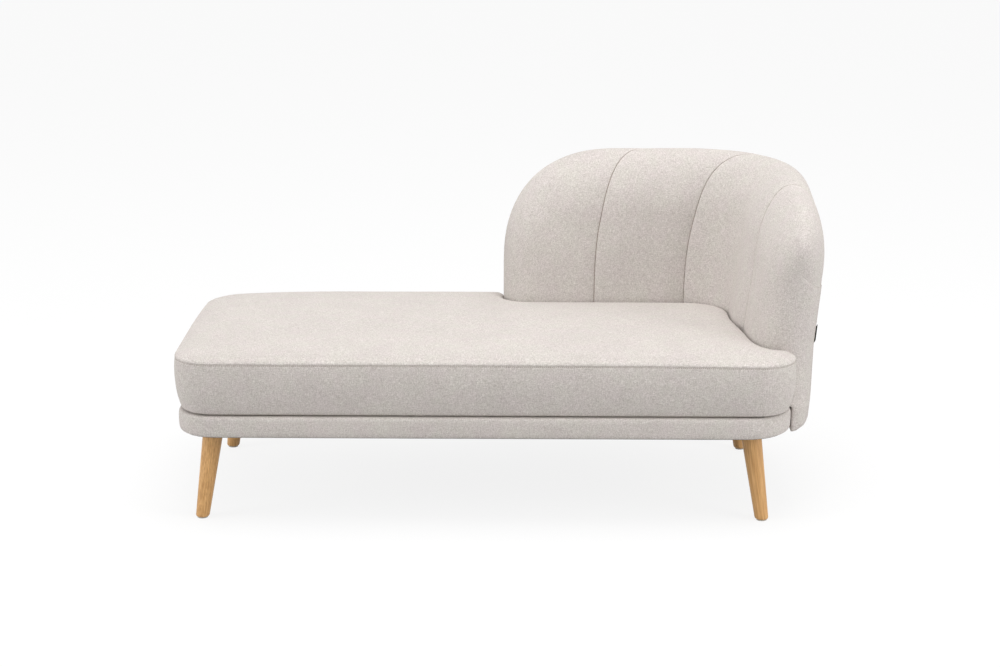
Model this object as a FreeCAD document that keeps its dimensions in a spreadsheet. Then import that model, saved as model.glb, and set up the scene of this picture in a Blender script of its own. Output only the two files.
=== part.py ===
import FreeCAD, Part
import math
import os
import Sketcher
from FreeCAD import Placement, Rotation, Vector

# Chaise longue with a low backrest that wraps from the rear edge round one end.
# Millimetres. +X runs along the seat to the wrapped end, +Y to the rear, +Z up.
# The origin is on the floor, under the middle of the whole piece.

doc = FreeCAD.newDocument("chaise_longue")
sheet = doc.addObject("Spreadsheet::Sheet", "Dimensions")

DIMENSIONS = [
    ("seat_length", 1411, "box base, end to end"),
    ("seat_depth", 663, "box base, front to rear"),
    ("seat_bulge", 7, "how far the cushion border swells past the base"),
    ("back_reach", 83.05, "how far the backrest roll leans out past the base"),
    ("base_bottom", 215, "underside of the fabric band"),
    ("base_top", 264, "top edge of the fabric band"),
    ("corner_left", 93, "plan radius of the two open corners"),
    ("corner_front_right", 115, "plan radius of the corner before the wing"),
    ("corner_back", 220, "plan radius that the backrest wraps round"),
    ("band_skin", 3.5, "fabric band with its thin wadding"),
    ("band_return", 14, "fabric turned in and stapled, top and bottom"),
    ("band_round", 7, "radius of the band's long edges"),
    ("rail_width", 38, "timber rails, across"),
    ("rail_bottom", 219, "underside of the rails"),
    ("rail_height", 43, "timber rails, tall"),
    ("block_side", 135, "corner blocks, measured from the base face"),
    ("block_chamfer", 40, "inner corner cut off a block"),
    ("back_block_side", 224, "block in the wrapped corner"),
    ("back_block_chamfer", 125, "inner corner cut off the wrapped block"),
    ("dowel_size", 10, "beech dowels in the rail joints, diameter"),
    ("dowel_length", 70, "beech dowels, length"),
    ("dowel_spacing", 20, "between the two dowels of one joint"),
    ("foot_inset_left", 48, "foot centre from the open end"),
    ("foot_inset_right", 63, "foot centre from the wrapped end"),
    ("foot_inset_depth", 70, "foot centre from front and rear faces"),
    ("leg_splay", 30, "foot stands this far out of the leg top, both ways"),
    ("leg_top_size", 49, "leg diameter under the frame"),
    ("leg_foot_size", 32, "leg diameter at the floor"),
    ("leg_foot_round", 4, "rounding of the leg's lower edge"),
    ("glide_size", 24, "foot glide, diameter"),
    ("glide_thickness", 3, "foot glide, tall"),
    ("plate_size", 70, "round leg plate, diameter"),
    ("plate_thickness", 2.5, "leg plate, sheet"),
    ("sleeve_size", 14, "threaded sleeve of a leg plate, diameter"),
    ("sleeve_length", 22, "threaded sleeve, tall"),
    ("bolt_size", 8, "hanger bolts and frame bolts, diameter"),
    ("bolt_in_leg", 34, "hanger bolt, length in the leg"),
    ("bolt_in_sleeve", 18, "hanger bolt, length in the sleeve"),
    ("plate_screw_circle", 60, "circle of the leg plate's screws"),
    ("plate_screw_size", 4, "leg plate screws, diameter"),
    ("plate_screw_length", 22, "leg plate screws, under the head"),
    ("dust_skin", 1, "cloth under the frame"),
    ("dust_inset", 7, "dust cover edge from the base face"),
    ("web_width", 60, "seat webbing, across"),
    ("web_thickness", 1.4, "seat webbing"),
    ("web_count", 8, "straps from front to rear"),
    ("web_long_count", 3, "straps along the seat"),
    ("deck_skin", 0.8, "cloth over the webbing"),
    ("cushion_bottom", 268, "underside of the seat cushion"),
    ("seam_height", 391, "top seam of the cushion"),
    ("crown_height", 419, "highest point of the seat"),
    ("cushion_radius", 86, "plan radius of the cushion corners"),
    ("cover_skin", 1.5, "upholstery fabric"),
    ("soft_gap", 0.4, "room between a cover and its foam"),
    ("notch_gap", 2, "room between the cushion and the backrest"),
    ("back_left", 740.8, "left end of the backrest from the open end"),
    ("back_front", 100, "front end of the wing from the base front"),
    ("back_bottom", 205, "lower edge of the backrest"),
    ("back_top", 761.6, "top of the backrest"),
    ("pad_bottom", 270, "underside of the pad, above the seat deck"),
    ("pad_low", 400, "height where the inner face starts to lean"),
    ("pad_high", 640, "height of the upper thickness"),
    ("inner_low", 115, "inner face, in from the base face, low"),
    ("inner_high", 80.3, "inner face, in from the base face, high"),
    ("outer_low", 46, "outer face, out from the base face, at the bottom"),
    ("outer_high", 83.4, "outer face, out from the base face, high"),
    ("roll_height", 150.7, "height of the rounded top above the faces"),
    ("back_edge_round", 15, "radius of the lower outer edge"),
    ("left_fall_run", 289, "run of the round upper left corner"),
    ("left_fall", 283, "fall of the round upper left corner"),
    ("right_fall_run", 583, "run of the falling wing"),
    ("right_fall", 157, "fall of the wing at its front end"),
    ("fall_power", 2.35, "fullness of both falls"),
    ("left_end_round", 66, "length of the rounded left end"),
    ("right_end_round", 131, "length of the rounded wing end"),
    ("seam_one", 250, "first channel seam, along the base face"),
    ("seam_two", 490, "second channel seam"),
    ("seam_three", 920, "third channel seam"),
    ("channel_depth", 5.5, "how deep a channel seam is drawn in"),
    ("channel_run", 60, "how far a seam draws the pad in"),
    ("quilt_skin", 7, "backrest cover with its quilted wadding"),
    ("outer_joint", 600, "where inner and outer covers meet, height"),
    ("outer_left_edge", 50, "outer cover's edge from the left end"),
    ("outer_front_edge", 72, "outer cover's edge from the wing end"),
    ("shell_gap", 8, "plywood shell, out from the base face"),
    ("shell_thickness", 15, "plywood shell"),
    ("shell_bottom", 222, "lower edge of the shell"),
    ("shell_top", 650, "upper edge of the shell"),
    ("shell_left_inset", 36, "shell's left edge from the left end"),
    ("shell_front_inset", 62, "shell's front edge from the wing end"),
    ("shell_left_round", 215, "round upper left corner of the shell"),
    ("shell_front_round", 150, "round upper front corner of the shell"),
    ("post_width", 45, "uprights behind the pad, along the base"),
    ("post_thickness", 30, "uprights, through the backrest"),
    ("post_bottom", 272, "foot of the uprights"),
    ("post_drop", 40, "uprights stop this far under the shell's edge"),
    ("frame_bolt_height", 240.5, "bolts that hold the backrest"),
    ("washer_size", 22, "washers under the frame bolts"),
    ("washer_thickness", 1.6, "washers"),
    ("head_size", 15, "frame bolt head, diameter"),
    ("head_height", 4.5, "frame bolt head"),
    ("nut_flange", 20, "tee nut flange, diameter"),
    ("nut_thickness", 1.5, "tee nut flange"),
    ("tag_width", 20, "plain side tag, from its seam to its fold"),
    ("tag_height", 38, "plain side tag, tall"),
    ("tag_thickness", 1.2, "plain side tag, folded"),
    ("tag_gap", 0.8, "tag off the cover where it leaves the seam"),
    ("tag_stand", 2.5, "tag off the cover at its fold"),
    ("tag_middle", 417, "plain side tag, middle height"),
]

sheet.set("A1", "dimension")
sheet.set("B1", "millimetres")
sheet.set("C1", "what it is")
for number, (name, value, meaning) in enumerate(DIMENSIONS, start=2):
    sheet.set(f"A{number}", name)
    sheet.set(f"B{number}", str(value))
    sheet.set(f"C{number}", meaning)
    sheet.setAlias(f"B{number}", name)
doc.recompute()


def size(name):
    """A driving dimension, read back from the sheet."""
    return float(sheet.get(name))


def cell(name):
    return f"Dimensions.{name}"


# The base's four faces. The origin sits under the middle of the whole outline,
# which ends at the cushion's bulge on two sides and at the backrest on the others.
BASE_LEFT = (size("seat_bulge") - size("back_reach") - size("seat_length")) / 2
BASE_FRONT = (size("seat_bulge") - size("back_reach") - size("seat_depth")) / 2
BASE_RIGHT = BASE_LEFT + size("seat_length")
BASE_REAR = BASE_FRONT + size("seat_depth")
LEFT_CELL = f"(({cell('seat_bulge')} - {cell('back_reach')} - {cell('seat_length')}) / 2)"
FRONT_CELL = f"(({cell('seat_bulge')} - {cell('back_reach')} - {cell('seat_depth')}) / 2)"
RIGHT_CELL = f"({LEFT_CELL} + {cell('seat_length')})"
REAR_CELL = f"({FRONT_CELL} + {cell('seat_depth')})"
RAIL_INSET = size("band_skin") + 0.5
INSET_CELL = f"({cell('band_skin')} + 0.5)"
BIG = 2000.0

nodes = {}


def keep(name, thing):
    """Label an object as one finished sub-part."""
    thing.Label = name
    nodes[name] = thing
    return thing


def keep_shape(name, shape):
    """A sub-part whose shape no feature draws, such as an upholstered form."""
    feature = doc.addObject("Part::Feature", name)
    feature.Shape = shape
    feature.Placement = Placement()
    return keep(name, feature)


def origin_plane(body, role):
    for feature in body.Origin.OriginFeatures:
        if feature.Role == role:
            return feature
    raise ValueError(role)


def new_body(name, x="0", y="0", z="0", turn=0.0):
    """A body whose own origin is placed by expressions on the sheet."""
    body = doc.addObject("PartDesign::Body", name)
    body.Placement = Placement(Vector(), Rotation(Vector(0, 0, 1), turn))
    body.setExpression("Placement.Base.x", x)
    body.setExpression("Placement.Base.y", y)
    body.setExpression("Placement.Base.z", z)
    return body


def new_sketch(body, name, plane="XY_Plane", lift=None):
    sketch = body.newObject("Sketcher::SketchObject", name)
    sketch.AttachmentSupport = [(origin_plane(body, plane), "")]
    sketch.MapMode = "FlatFace"
    if lift:
        sketch.setExpression("AttachmentOffset.Base.z", lift)
    return sketch


def bind(sketch, kind, first, expression, value=10.0):
    """A dimension of a sketch, tied to the sheet."""
    index = sketch.addConstraint(Sketcher.Constraint(kind, *first, value))
    sketch.setExpression(f"Constraints[{index}]", expression)


def draw_rectangle(sketch, width, depth):
    """A rectangle with its near corner on the sketch's origin."""
    corners = [Vector(0, 0, 0), Vector(10, 0, 0), Vector(10, 10, 0), Vector(0, 10, 0)]
    for index in range(4):
        line = Part.LineSegment(corners[index], corners[(index + 1) % 4])
        sketch.addGeometry(line, False)
    for index in range(4):
        sketch.addConstraint(Sketcher.Constraint("Coincident", index, 2, (index + 1) % 4, 1))
    for index, direction in enumerate(("Horizontal", "Vertical", "Horizontal", "Vertical")):
        sketch.addConstraint(Sketcher.Constraint(direction, index))
    sketch.addConstraint(Sketcher.Constraint("Coincident", 0, 1, -1, 1))
    bind(sketch, "DistanceX", (0, 1, 0, 2), width)
    bind(sketch, "DistanceY", (1, 1, 1, 2), depth)


def draw_circle(sketch, diameter, right=None, up=None):
    circle = Part.Circle(Vector(1, 1, 0), Vector(0, 0, 1), 5)
    index = sketch.addGeometry(circle, False)
    if right is None:
        sketch.addConstraint(Sketcher.Constraint("Coincident", index, 3, -1, 1))
    else:
        bind(sketch, "DistanceX", (-1, 1, index, 3), right)
        bind(sketch, "DistanceY", (-1, 1, index, 3), up)
    bind(sketch, "Diameter", (index,), diameter)


def pad(body, sketch, length, name="Pad"):
    feature = body.newObject("PartDesign::Pad", name)
    feature.Profile = sketch
    feature.setExpression("Length", length)
    sketch.Visibility = False
    return feature


def timber(name, x, y, z, width, depth, height):
    """A plain sawn board, drawn on the floor plane and raised."""
    body = new_body(name, x, y, z)
    sketch = new_sketch(body, name + "_outline")
    draw_rectangle(sketch, width, depth)
    pad(body, sketch, height, name + "_pad")
    return body


def rod(name, diameter, length, base, direction):
    """A round bar for a fastener, or for the bore that it goes in."""
    cylinder = doc.addObject("Part::Cylinder", name)
    cylinder.Radius = diameter / 2
    cylinder.Height = length
    turn = Rotation(Vector(0, 0, 1), direction)
    cylinder.Placement = Placement(base, turn)
    return cylinder


def group(name, members):
    compound = doc.addObject("Part::Compound", name)
    compound.Links = members
    return compound


def bored(name, wood, bores):
    """A sub-part after its holes are cut."""
    cut = doc.addObject("Part::Cut", name + "_bored")
    cut.Base = wood
    cut.Tool = bores[0] if len(bores) == 1 else group(name + "_bores", bores)
    return keep(name, cut)


# Plan outlines of the base and of the cushion

def rounded_plan(left, front, right, rear, radii, height):
    """A closed wire with a rounded corner at each end of each side."""
    turns = ((left, front, 180), (right, front, 270), (right, rear, 0), (left, rear, 90))
    edges = []
    joints = []
    for (x, y, start), radius in zip(turns, radii):
        towards_x = 1 if x == left else -1
        towards_y = 1 if y == front else -1
        middle = Vector(x + towards_x * radius, y + towards_y * radius, height)
        points = []
        for angle in (start, start + 45, start + 90):
            swing = math.radians(angle)
            points.append(middle + Vector(math.cos(swing), math.sin(swing), 0) * radius)
        joints.append(points)
    for index, points in enumerate(joints):
        edges.append(Part.Arc(*points).toShape())
        edges.append(Part.LineSegment(points[2], joints[(index + 1) % 4][0]).toShape())
    return Part.Wire(edges)


def base_plan(inset, height):
    radii = [size("corner_left"), size("corner_front_right")]
    radii += [size("corner_back"), size("corner_left")]
    return rounded_plan(
        BASE_LEFT + inset, BASE_FRONT + inset, BASE_RIGHT - inset, BASE_REAR - inset,
        [radius - inset for radius in radii], height)


def prism(wire, height):
    return Part.Face(wire).extrude(Vector(0, 0, height))


def slab(bottom, top):
    """Everything between two heights."""
    return Part.makeBox(BIG, BIG, top - bottom, Vector(-BIG / 2, -BIG / 2, bottom))


# Legs: turned, tapered, splayed towards their corner, with a nylon glide below
# and a hanger bolt that screws into the sleeve of a steel plate.

LEGS = [
    ("front_left", f"{LEFT_CELL} + {cell('foot_inset_left')}",
     f"{FRONT_CELL} + {cell('foot_inset_depth')}", 0),
    ("front_right", f"{RIGHT_CELL} - {cell('foot_inset_right')}",
     f"{FRONT_CELL} + {cell('foot_inset_depth')}", 90),
    ("rear_right", f"{RIGHT_CELL} - {cell('foot_inset_right')}",
     f"{REAR_CELL} - {cell('foot_inset_depth')}", 180),
    ("rear_left", f"{LEFT_CELL} + {cell('foot_inset_left')}",
     f"{REAR_CELL} - {cell('foot_inset_depth')}", 270),
]
PLATE_BOTTOM = size("rail_bottom") - size("plate_thickness")
PLATE_CELL = f"({cell('rail_bottom')} - {cell('plate_thickness')})"
LEG_RISE = PLATE_BOTTOM - size("glide_thickness")
# the rounded foot: heights as shares of its rounding, and how much slimmer it is there
LEG_FOOT_RINGS = [(0, 1.4), (0.3, 0.55), (1, 0)]
lean = size("leg_splay") / LEG_RISE
hanger_bolts = []
plate_screws = []
block_bores = {}
leg_tops = {}

for place, foot_x, foot_y, turn in LEGS:
    glide = new_body("foot_glide_" + place, foot_x, foot_y, "0")
    disc = new_sketch(glide, f"glide_{place}_outline")
    draw_circle(disc, cell("glide_size"))
    pad(glide, disc, cell("glide_thickness"), f"glide_{place}_pad")
    keep("foot_glide_" + place, glide)

    leg = new_body("leg_" + place, foot_x, foot_y, cell("glide_thickness"), turn)
    rise_cell = f"({PLATE_CELL} - {cell('glide_thickness')})"
    rings = []
    for ring, (share, slimmer) in enumerate(LEG_FOOT_RINGS):
        climb = f"{cell('leg_foot_round')} * {share}"
        aside = f"{cell('leg_splay')} * {climb} / {rise_cell}"
        level = new_sketch(leg, f"leg_{place}_ring_{ring}", lift=climb)
        draw_circle(level, f"{cell('leg_foot_size')} - {cell('leg_foot_round')} * {slimmer}",
                    aside if share else None, aside)
        rings.append(level)
    head = new_sketch(leg, f"leg_{place}_head", lift=rise_cell)
    draw_circle(head, cell("leg_top_size"), cell("leg_splay"), cell("leg_splay"))
    rings.append(head)
    taper = leg.newObject("PartDesign::AdditiveLoft", f"leg_{place}_taper")
    taper.Profile = rings[0]
    taper.Sections = rings[1:]
    taper.Ruled = True
    doc.recompute()

    swing = Rotation(Vector(0, 0, 1), turn)
    stand = leg.Placement.Base
    splay = size("leg_splay")
    side_x, side_y, _ = swing.multVec(Vector(1, 1, 0))
    top = stand + Vector(side_x * splay, side_y * splay, LEG_RISE)
    axis = swing.multVec(Vector(lean, lean, 1)).normalize()
    leg_tops[place] = top
    bore_depth = size("bolt_in_leg") + 2
    bolt_bore = rod(f"leg_{place}_bore", size("bolt_size") + 0.6, bore_depth + 10,
                    top - axis * bore_depth, axis)
    bored("leg_" + place, leg, [bolt_bore])
    bolt_length = size("bolt_in_leg") + size("bolt_in_sleeve")
    hanger_bolts.append(rod("hanger_bolt_" + place, size("bolt_size"), bolt_length,
                            top - axis * size("bolt_in_leg"), axis))

    plate = new_body("leg_plate_" + place,
                     f"{foot_x} + {round(side_x)} * {cell('leg_splay')}",
                     f"{foot_y} + {round(side_y)} * {cell('leg_splay')}", PLATE_CELL)
    disc = new_sketch(plate, f"plate_{place}_outline")
    draw_circle(disc, cell("plate_size"))
    pad(plate, disc, cell("plate_thickness"), f"plate_{place}_pad")
    sleeve = rod(f"sleeve_{place}", size("sleeve_size"), size("sleeve_length"), top, axis)
    joined = doc.addObject("Part::Fuse", f"plate_{place}_welded")
    joined.Base = plate
    joined.Tool = sleeve
    below = doc.addObject("Part::Box", f"plate_{place}_underside")
    below.Length = below.Width = size("plate_size")
    below.Height = 10
    below.Placement.Base = top - Vector(size("plate_size") / 2, size("plate_size") / 2, 10)
    holes = [below, rod(f"sleeve_{place}_bore", size("bolt_size") + 0.6,
                        size("sleeve_length") + 20, top - axis * 10, axis)]
    for quarter in range(4):
        angle = math.radians(45 + 90 * quarter)
        arm = Vector(math.cos(angle), math.sin(angle), 0) * size("plate_screw_circle") / 2
        holes.append(rod(f"plate_{place}_hole_{quarter}", size("plate_screw_size") + 0.6, 20,
                         top + arm - Vector(0, 0, 5), Vector(0, 0, 1)))
        shank = rod(f"plate_{place}_shank_{quarter}", size("plate_screw_size"),
                    size("plate_screw_length") + 1, top + arm - Vector(0, 0, 0.5),
                    Vector(0, 0, 1))
        crown = rod(f"plate_{place}_crown_{quarter}", size("plate_screw_size") * 2, 1.6,
                    top + arm - Vector(0, 0, 1.6), Vector(0, 0, 1))
        screw = doc.addObject("Part::Fuse", f"plate_{place}_screw_{quarter}")
        screw.Base = shank
        screw.Tool = crown
        plate_screws.append(screw)
        block_bores.setdefault(place, []).append(
            rod(f"block_{place}_pilot_{quarter}", size("plate_screw_size"),
                size("plate_screw_length") + 6, top + arm - Vector(0, 0, 5),
                Vector(0, 0, 1)))
    bored("leg_plate_" + place, joined, holes)
    block_bores[place].append(rod(f"block_{place}_socket", size("sleeve_size") + 1,
                                  size("sleeve_length") + 14, top - axis * 10, axis))

keep("hanger_bolts", group("hanger_bolts", hanger_bolts))
keep("plate_screws", group("plate_screws", plate_screws))

# Box base: four rails and two cross rails of sawn timber, let into corner blocks
# with pairs of beech dowels.

def corner_block(name, x, y, side, chamfer, radius, turn):
    """A block with its outer corner rounded in plan and its inner corner cut."""
    body = new_body(name, x, y, cell("rail_bottom"), turn)
    sketch = new_sketch(body, name + "_outline")
    far = size(side) - RAIL_INSET
    curve = size(radius) - RAIL_INSET
    cut = size(chamfer)
    circle = Part.Circle(Vector(curve, curve, 0), Vector(0, 0, 1), curve)
    sketch.addGeometry(Part.ArcOfCircle(circle, math.pi, math.pi * 1.5), False)
    corners = [Vector(0, curve, 0), Vector(0, far, 0), Vector(far - cut, far, 0),
               Vector(far, far - cut, 0), Vector(far, 0, 0), Vector(curve, 0, 0)]
    for start, end in zip(corners, corners[1:]):
        sketch.addGeometry(Part.LineSegment(start, end), False)
    for index in range(1, 5):
        sketch.addConstraint(Sketcher.Constraint("Coincident", index, 2, index + 1, 1))
    for index, direction in ((1, "Vertical"), (2, "Horizontal"), (4, "Vertical"),
                             (5, "Horizontal")):
        sketch.addConstraint(Sketcher.Constraint(direction, index))
    sketch.addConstraint(Sketcher.Constraint("Coincident", 0, 1, 1, 1))
    sketch.addConstraint(Sketcher.Constraint("Coincident", 0, 2, 5, 2))
    sketch.addConstraint(Sketcher.Constraint("PointOnObject", 1, 1, -2))
    sketch.addConstraint(Sketcher.Constraint("PointOnObject", 5, 2, -1))
    round_cell = f"{cell(radius)} - {INSET_CELL}"
    bind(sketch, "DistanceY", (-1, 1, 1, 1), round_cell, curve)
    bind(sketch, "DistanceX", (-1, 1, 5, 2), round_cell, curve)
    bind(sketch, "DistanceX", (-1, 1, 0, 3), round_cell, curve)
    bind(sketch, "DistanceY", (-1, 1, 1, 2), f"{cell(side)} - {INSET_CELL}", far)
    bind(sketch, "DistanceX", (-1, 1, 4, 2), f"{cell(side)} - {INSET_CELL}", far)
    bind(sketch, "DistanceX", (3, 1, 3, 2), cell(chamfer), cut)
    bind(sketch, "DistanceY", (3, 2, 3, 1), cell(chamfer), cut)
    pad(body, sketch, cell("rail_height"), name + "_pad")
    return body


near_left = f"{LEFT_CELL} + {INSET_CELL}"
near_front = f"{FRONT_CELL} + {INSET_CELL}"
near_right = f"{RIGHT_CELL} - {INSET_CELL}"
near_rear = f"{REAR_CELL} - {INSET_CELL}"
BLOCKS = [
    ("front_left", near_left, near_front, "block_side", "block_chamfer", "corner_left", 0),
    ("front_right", near_right, near_front, "block_side", "block_chamfer",
     "corner_front_right", 90),
    ("rear_right", near_right, near_rear, "back_block_side", "back_block_chamfer",
     "corner_back", 180),
    ("rear_left", near_left, near_rear, "block_side", "block_chamfer", "corner_left", 270),
]

side, wide = size("block_side"), size("back_block_side")
width, tall = cell("rail_width"), cell("rail_height")
low = cell("rail_bottom")
block, back_block = cell("block_side"), cell("back_block_side")
RAILS = {
    "front_rail": timber(
        "front_rail_board", f"{LEFT_CELL} + {block}", near_front, low,
        f"{cell('seat_length')} - 2 * {block}", width, tall),
    "rear_rail": timber(
        "rear_rail_board", f"{LEFT_CELL} + {block}", f"{near_rear} - {width}", low,
        f"{cell('seat_length')} - {block} - {back_block}", width, tall),
    "left_end_rail": timber(
        "left_end_rail_board", near_left, f"{FRONT_CELL} + {block}", low,
        width, f"{cell('seat_depth')} - 2 * {block}", tall),
    "right_end_rail": timber(
        "right_end_rail_board", f"{near_right} - {width}", f"{FRONT_CELL} + {block}", low,
        width, f"{cell('seat_depth')} - {block} - {back_block}", tall),
}
for number in (1, 2):
    RAILS[f"cross_rail_{number}"] = timber(
        f"cross_rail_{number}_board",
        f"{LEFT_CELL} + {cell('seat_length')} * {number} / 3 - {width} / 2",
        f"{near_front} + {width}", low, width,
        f"{cell('seat_depth')} - 2 * {INSET_CELL} - 2 * {width}", tall)

# each joint: the rail and block (or rail and cross rail) it holds, place and direction
rail_middle = RAIL_INSET + size("rail_width") / 2
dowel_height = size("rail_bottom") + size("rail_height") / 2
ALONG, ACROSS = Vector(1, 0, 0), Vector(0, 1, 0)
JOINTS = [
    ("front_rail", "front_left", BASE_LEFT + side, BASE_FRONT + rail_middle, ALONG),
    ("front_rail", "front_right", BASE_RIGHT - side, BASE_FRONT + rail_middle, ALONG),
    ("rear_rail", "rear_left", BASE_LEFT + side, BASE_REAR - rail_middle, ALONG),
    ("rear_rail", "rear_right", BASE_RIGHT - wide, BASE_REAR - rail_middle, ALONG),
    ("left_end_rail", "front_left", BASE_LEFT + rail_middle, BASE_FRONT + side, ACROSS),
    ("left_end_rail", "rear_left", BASE_LEFT + rail_middle, BASE_REAR - side, ACROSS),
    ("right_end_rail", "front_right", BASE_RIGHT - rail_middle, BASE_FRONT + side, ACROSS),
    ("right_end_rail", "rear_right", BASE_RIGHT - rail_middle, BASE_REAR - wide, ACROSS),
]
for number in (1, 2):
    middle = BASE_LEFT + size("seat_length") * number / 3
    for rail, face in (("front_rail", BASE_FRONT + rail_middle + size("rail_width") / 2),
                       ("rear_rail", BASE_REAR - rail_middle - size("rail_width") / 2)):
        JOINTS.append((rail, f"cross_rail_{number}", middle, face, ACROSS))

dowels = []
rail_bores = {}
half_dowel = size("dowel_length") / 2
for rail, other, x, y, run in JOINTS:
    sideways = ACROSS if run is ALONG else ALONG
    for step in (-0.5, 0.5):
        middle = Vector(x, y, dowel_height) + sideways * size("dowel_spacing") * step
        start = middle - run * half_dowel
        name = f"{rail}_{other}_{'a' if step < 0 else 'b'}"
        dowels.append(rod("dowel_" + name, size("dowel_size"), size("dowel_length"),
                          start, run))
        bore = rod("dowel_bore_" + name, size("dowel_size") + 0.4,
                   size("dowel_length") + 2, start - run, run)
        rail_bores.setdefault(rail, []).append(bore)
        if other in block_bores:
            block_bores[other].append(bore)
        else:
            rail_bores.setdefault(other, []).append(bore)
keep("rail_dowels", group("rail_dowels", dowels))

# Bolts that hold the backrest's shell to the rails, from outside, with tee nuts within
BOLT_PLACES = [
    ("rear_rail", Vector(BASE_RIGHT - 600, BASE_REAR, 0), Vector(0, -1, 0)),
    ("rear_rail", Vector(BASE_RIGHT - 440, BASE_REAR, 0), Vector(0, -1, 0)),
    ("rear_rail", Vector(BASE_RIGHT - 290, BASE_REAR, 0), Vector(0, -1, 0)),
    ("right_end_rail", Vector(BASE_RIGHT, BASE_REAR - 270, 0), Vector(-1, 0, 0)),
    ("right_end_rail", Vector(BASE_RIGHT, BASE_REAR - 390, 0), Vector(-1, 0, 0)),
    ("right_end_rail", Vector(BASE_RIGHT, BASE_REAR - 485, 0), Vector(-1, 0, 0)),
]
shell_outside = size("shell_gap") + size("shell_thickness")
head_outside = shell_outside + size("washer_thickness")
nut_inside = RAIL_INSET + size("rail_width")
frame_bolts, washers, nuts, bolt_bores, head_rooms = [], [], [], [], []
for number, (rail, face, inward) in enumerate(BOLT_PLACES, start=1):
    face = face + Vector(0, 0, size("frame_bolt_height"))
    through = head_outside + nut_inside + size("nut_thickness") + 2
    shank = rod(f"frame_bolt_shank_{number}", size("bolt_size"), through + 1,
                face - inward * (head_outside + 1), inward)
    head = rod(f"frame_bolt_head_{number}", size("head_size"), size("head_height"),
               face - inward * (head_outside + size("head_height")), inward)
    bolt = doc.addObject("Part::Fuse", f"frame_bolt_{number}")
    bolt.Base = shank
    bolt.Tool = head
    frame_bolts.append(bolt)
    for kind, outer, thick, start, store in (
            ("washer", "washer_size", "washer_thickness", -head_outside, washers),
            ("tee_nut", "nut_flange", "nut_thickness", nut_inside, nuts)):
        ring = doc.addObject("Part::Cut", f"{kind}_{number}")
        ring.Base = rod(f"{kind}_{number}_disc", size(outer), size(thick),
                        face + inward * start, inward)
        ring.Tool = rod(f"{kind}_{number}_bore", size("bolt_size") + 0.5,
                        size(thick) + 4, face + inward * (start - 2), inward)
        store.append(ring)
    bore = rod(f"frame_bolt_bore_{number}", size("bolt_size") + 0.6, through + 30,
               face - inward * (head_outside + 10), inward)
    bolt_bores.append(bore)
    rail_bores[rail].append(bore)
    head_rooms.append(rod(f"frame_bolt_room_{number}", size("washer_size") + 2,
                          size("washer_thickness") + size("head_height") + 2,
                          face - inward * (head_outside + size("head_height") + 1), inward))
keep("frame_bolts", group("frame_bolts", frame_bolts))
keep("frame_washers", group("frame_washers", washers))
keep("frame_tee_nuts", group("frame_tee_nuts", nuts))

for place, x, y, block_width, chamfer, radius, turn in BLOCKS:
    blank = corner_block(f"corner_block_{place}_blank", x, y, block_width, chamfer,
                         radius, turn)
    bored("corner_block_" + place, blank, block_bores[place])
for name, board in RAILS.items():
    bored(name, board, rail_bores[name])
doc.recompute()

# Fabric band round the base: pulled over the rails, its edges turned in and stapled

outline_height = size("base_top") - size("base_bottom")
band = prism(base_plan(0, size("base_bottom")), outline_height)
long_edges = [edge for edge in band.Edges
              if edge.BoundBox.ZLength < 0.01]
band = band.makeFillet(size("band_round"), long_edges)
hollow = prism(base_plan(size("band_skin"), size("base_bottom") + size("band_skin")),
               outline_height - size("band_skin") - 1)
mouth = prism(base_plan(size("band_return"), size("base_bottom") - 5), outline_height + 10)
band = band.cut(hollow).cut(mouth)
for bore in bolt_bores:
    band = band.cut(bore.Shape)
for top in leg_tops.values():
    room = size("plate_size") / 2 + 1
    band = band.cut(Part.makeCylinder(room, 20, Vector(top.x, top.y, PLATE_BOTTOM - 10)))
keep_shape("base_cover", band)

# Dust cover: black cloth under the frame, cut out round the leg plates
dust_top = size("base_bottom") - 0.1
dust = prism(base_plan(size("dust_inset"), dust_top - size("dust_skin")), size("dust_skin"))
for top in leg_tops.values():
    room = size("plate_size") / 2 + 1.5
    dust = dust.cut(Part.makeCylinder(room, 20, Vector(top.x, top.y, dust_top - 10)))
keep_shape("dust_cover", dust)

# Seat deck: webbing both ways, stretched over the rails, under a plain cloth
web_bottom = size("rail_bottom") + size("rail_height") + 0.1
web_margin = size("band_return") + 3
strap_plan = prism(base_plan(web_margin, size("rail_bottom")), 100)
cross_straps = []
for number in range(int(size("web_count"))):
    pitch = (size("seat_length") - 200) / (size("web_count") - 1)
    middle = BASE_LEFT + 100 + pitch * number
    strap = Part.makeBox(size("web_width"), size("seat_depth"), size("web_thickness"),
                         Vector(middle - size("web_width") / 2, BASE_FRONT, web_bottom))
    cross_straps.append(strap.common(strap_plan).Solids[0])
keep_shape("webbing_across", Part.makeCompound(cross_straps))
long_straps = []
long_bottom = web_bottom + size("web_thickness") + 0.1
for number in range(int(size("web_long_count"))):
    pitch = size("seat_depth") / (size("web_long_count") + 1)
    middle = BASE_FRONT + pitch * (number + 1)
    strap = Part.makeBox(size("seat_length"), size("web_width"), size("web_thickness"),
                         Vector(BASE_LEFT, middle - size("web_width") / 2, long_bottom))
    long_straps.append(strap.common(strap_plan).Solids[0])
keep_shape("webbing_along", Part.makeCompound(long_straps))
deck_bottom = long_bottom + size("web_thickness") + 0.1
keep_shape("deck_cloth", prism(base_plan(web_margin, deck_bottom), size("deck_skin")))

# Backrest form. A station runs along the base's rear face, round the corner and
# forward along the end; a section there is drawn outwards from the base face.

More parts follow.
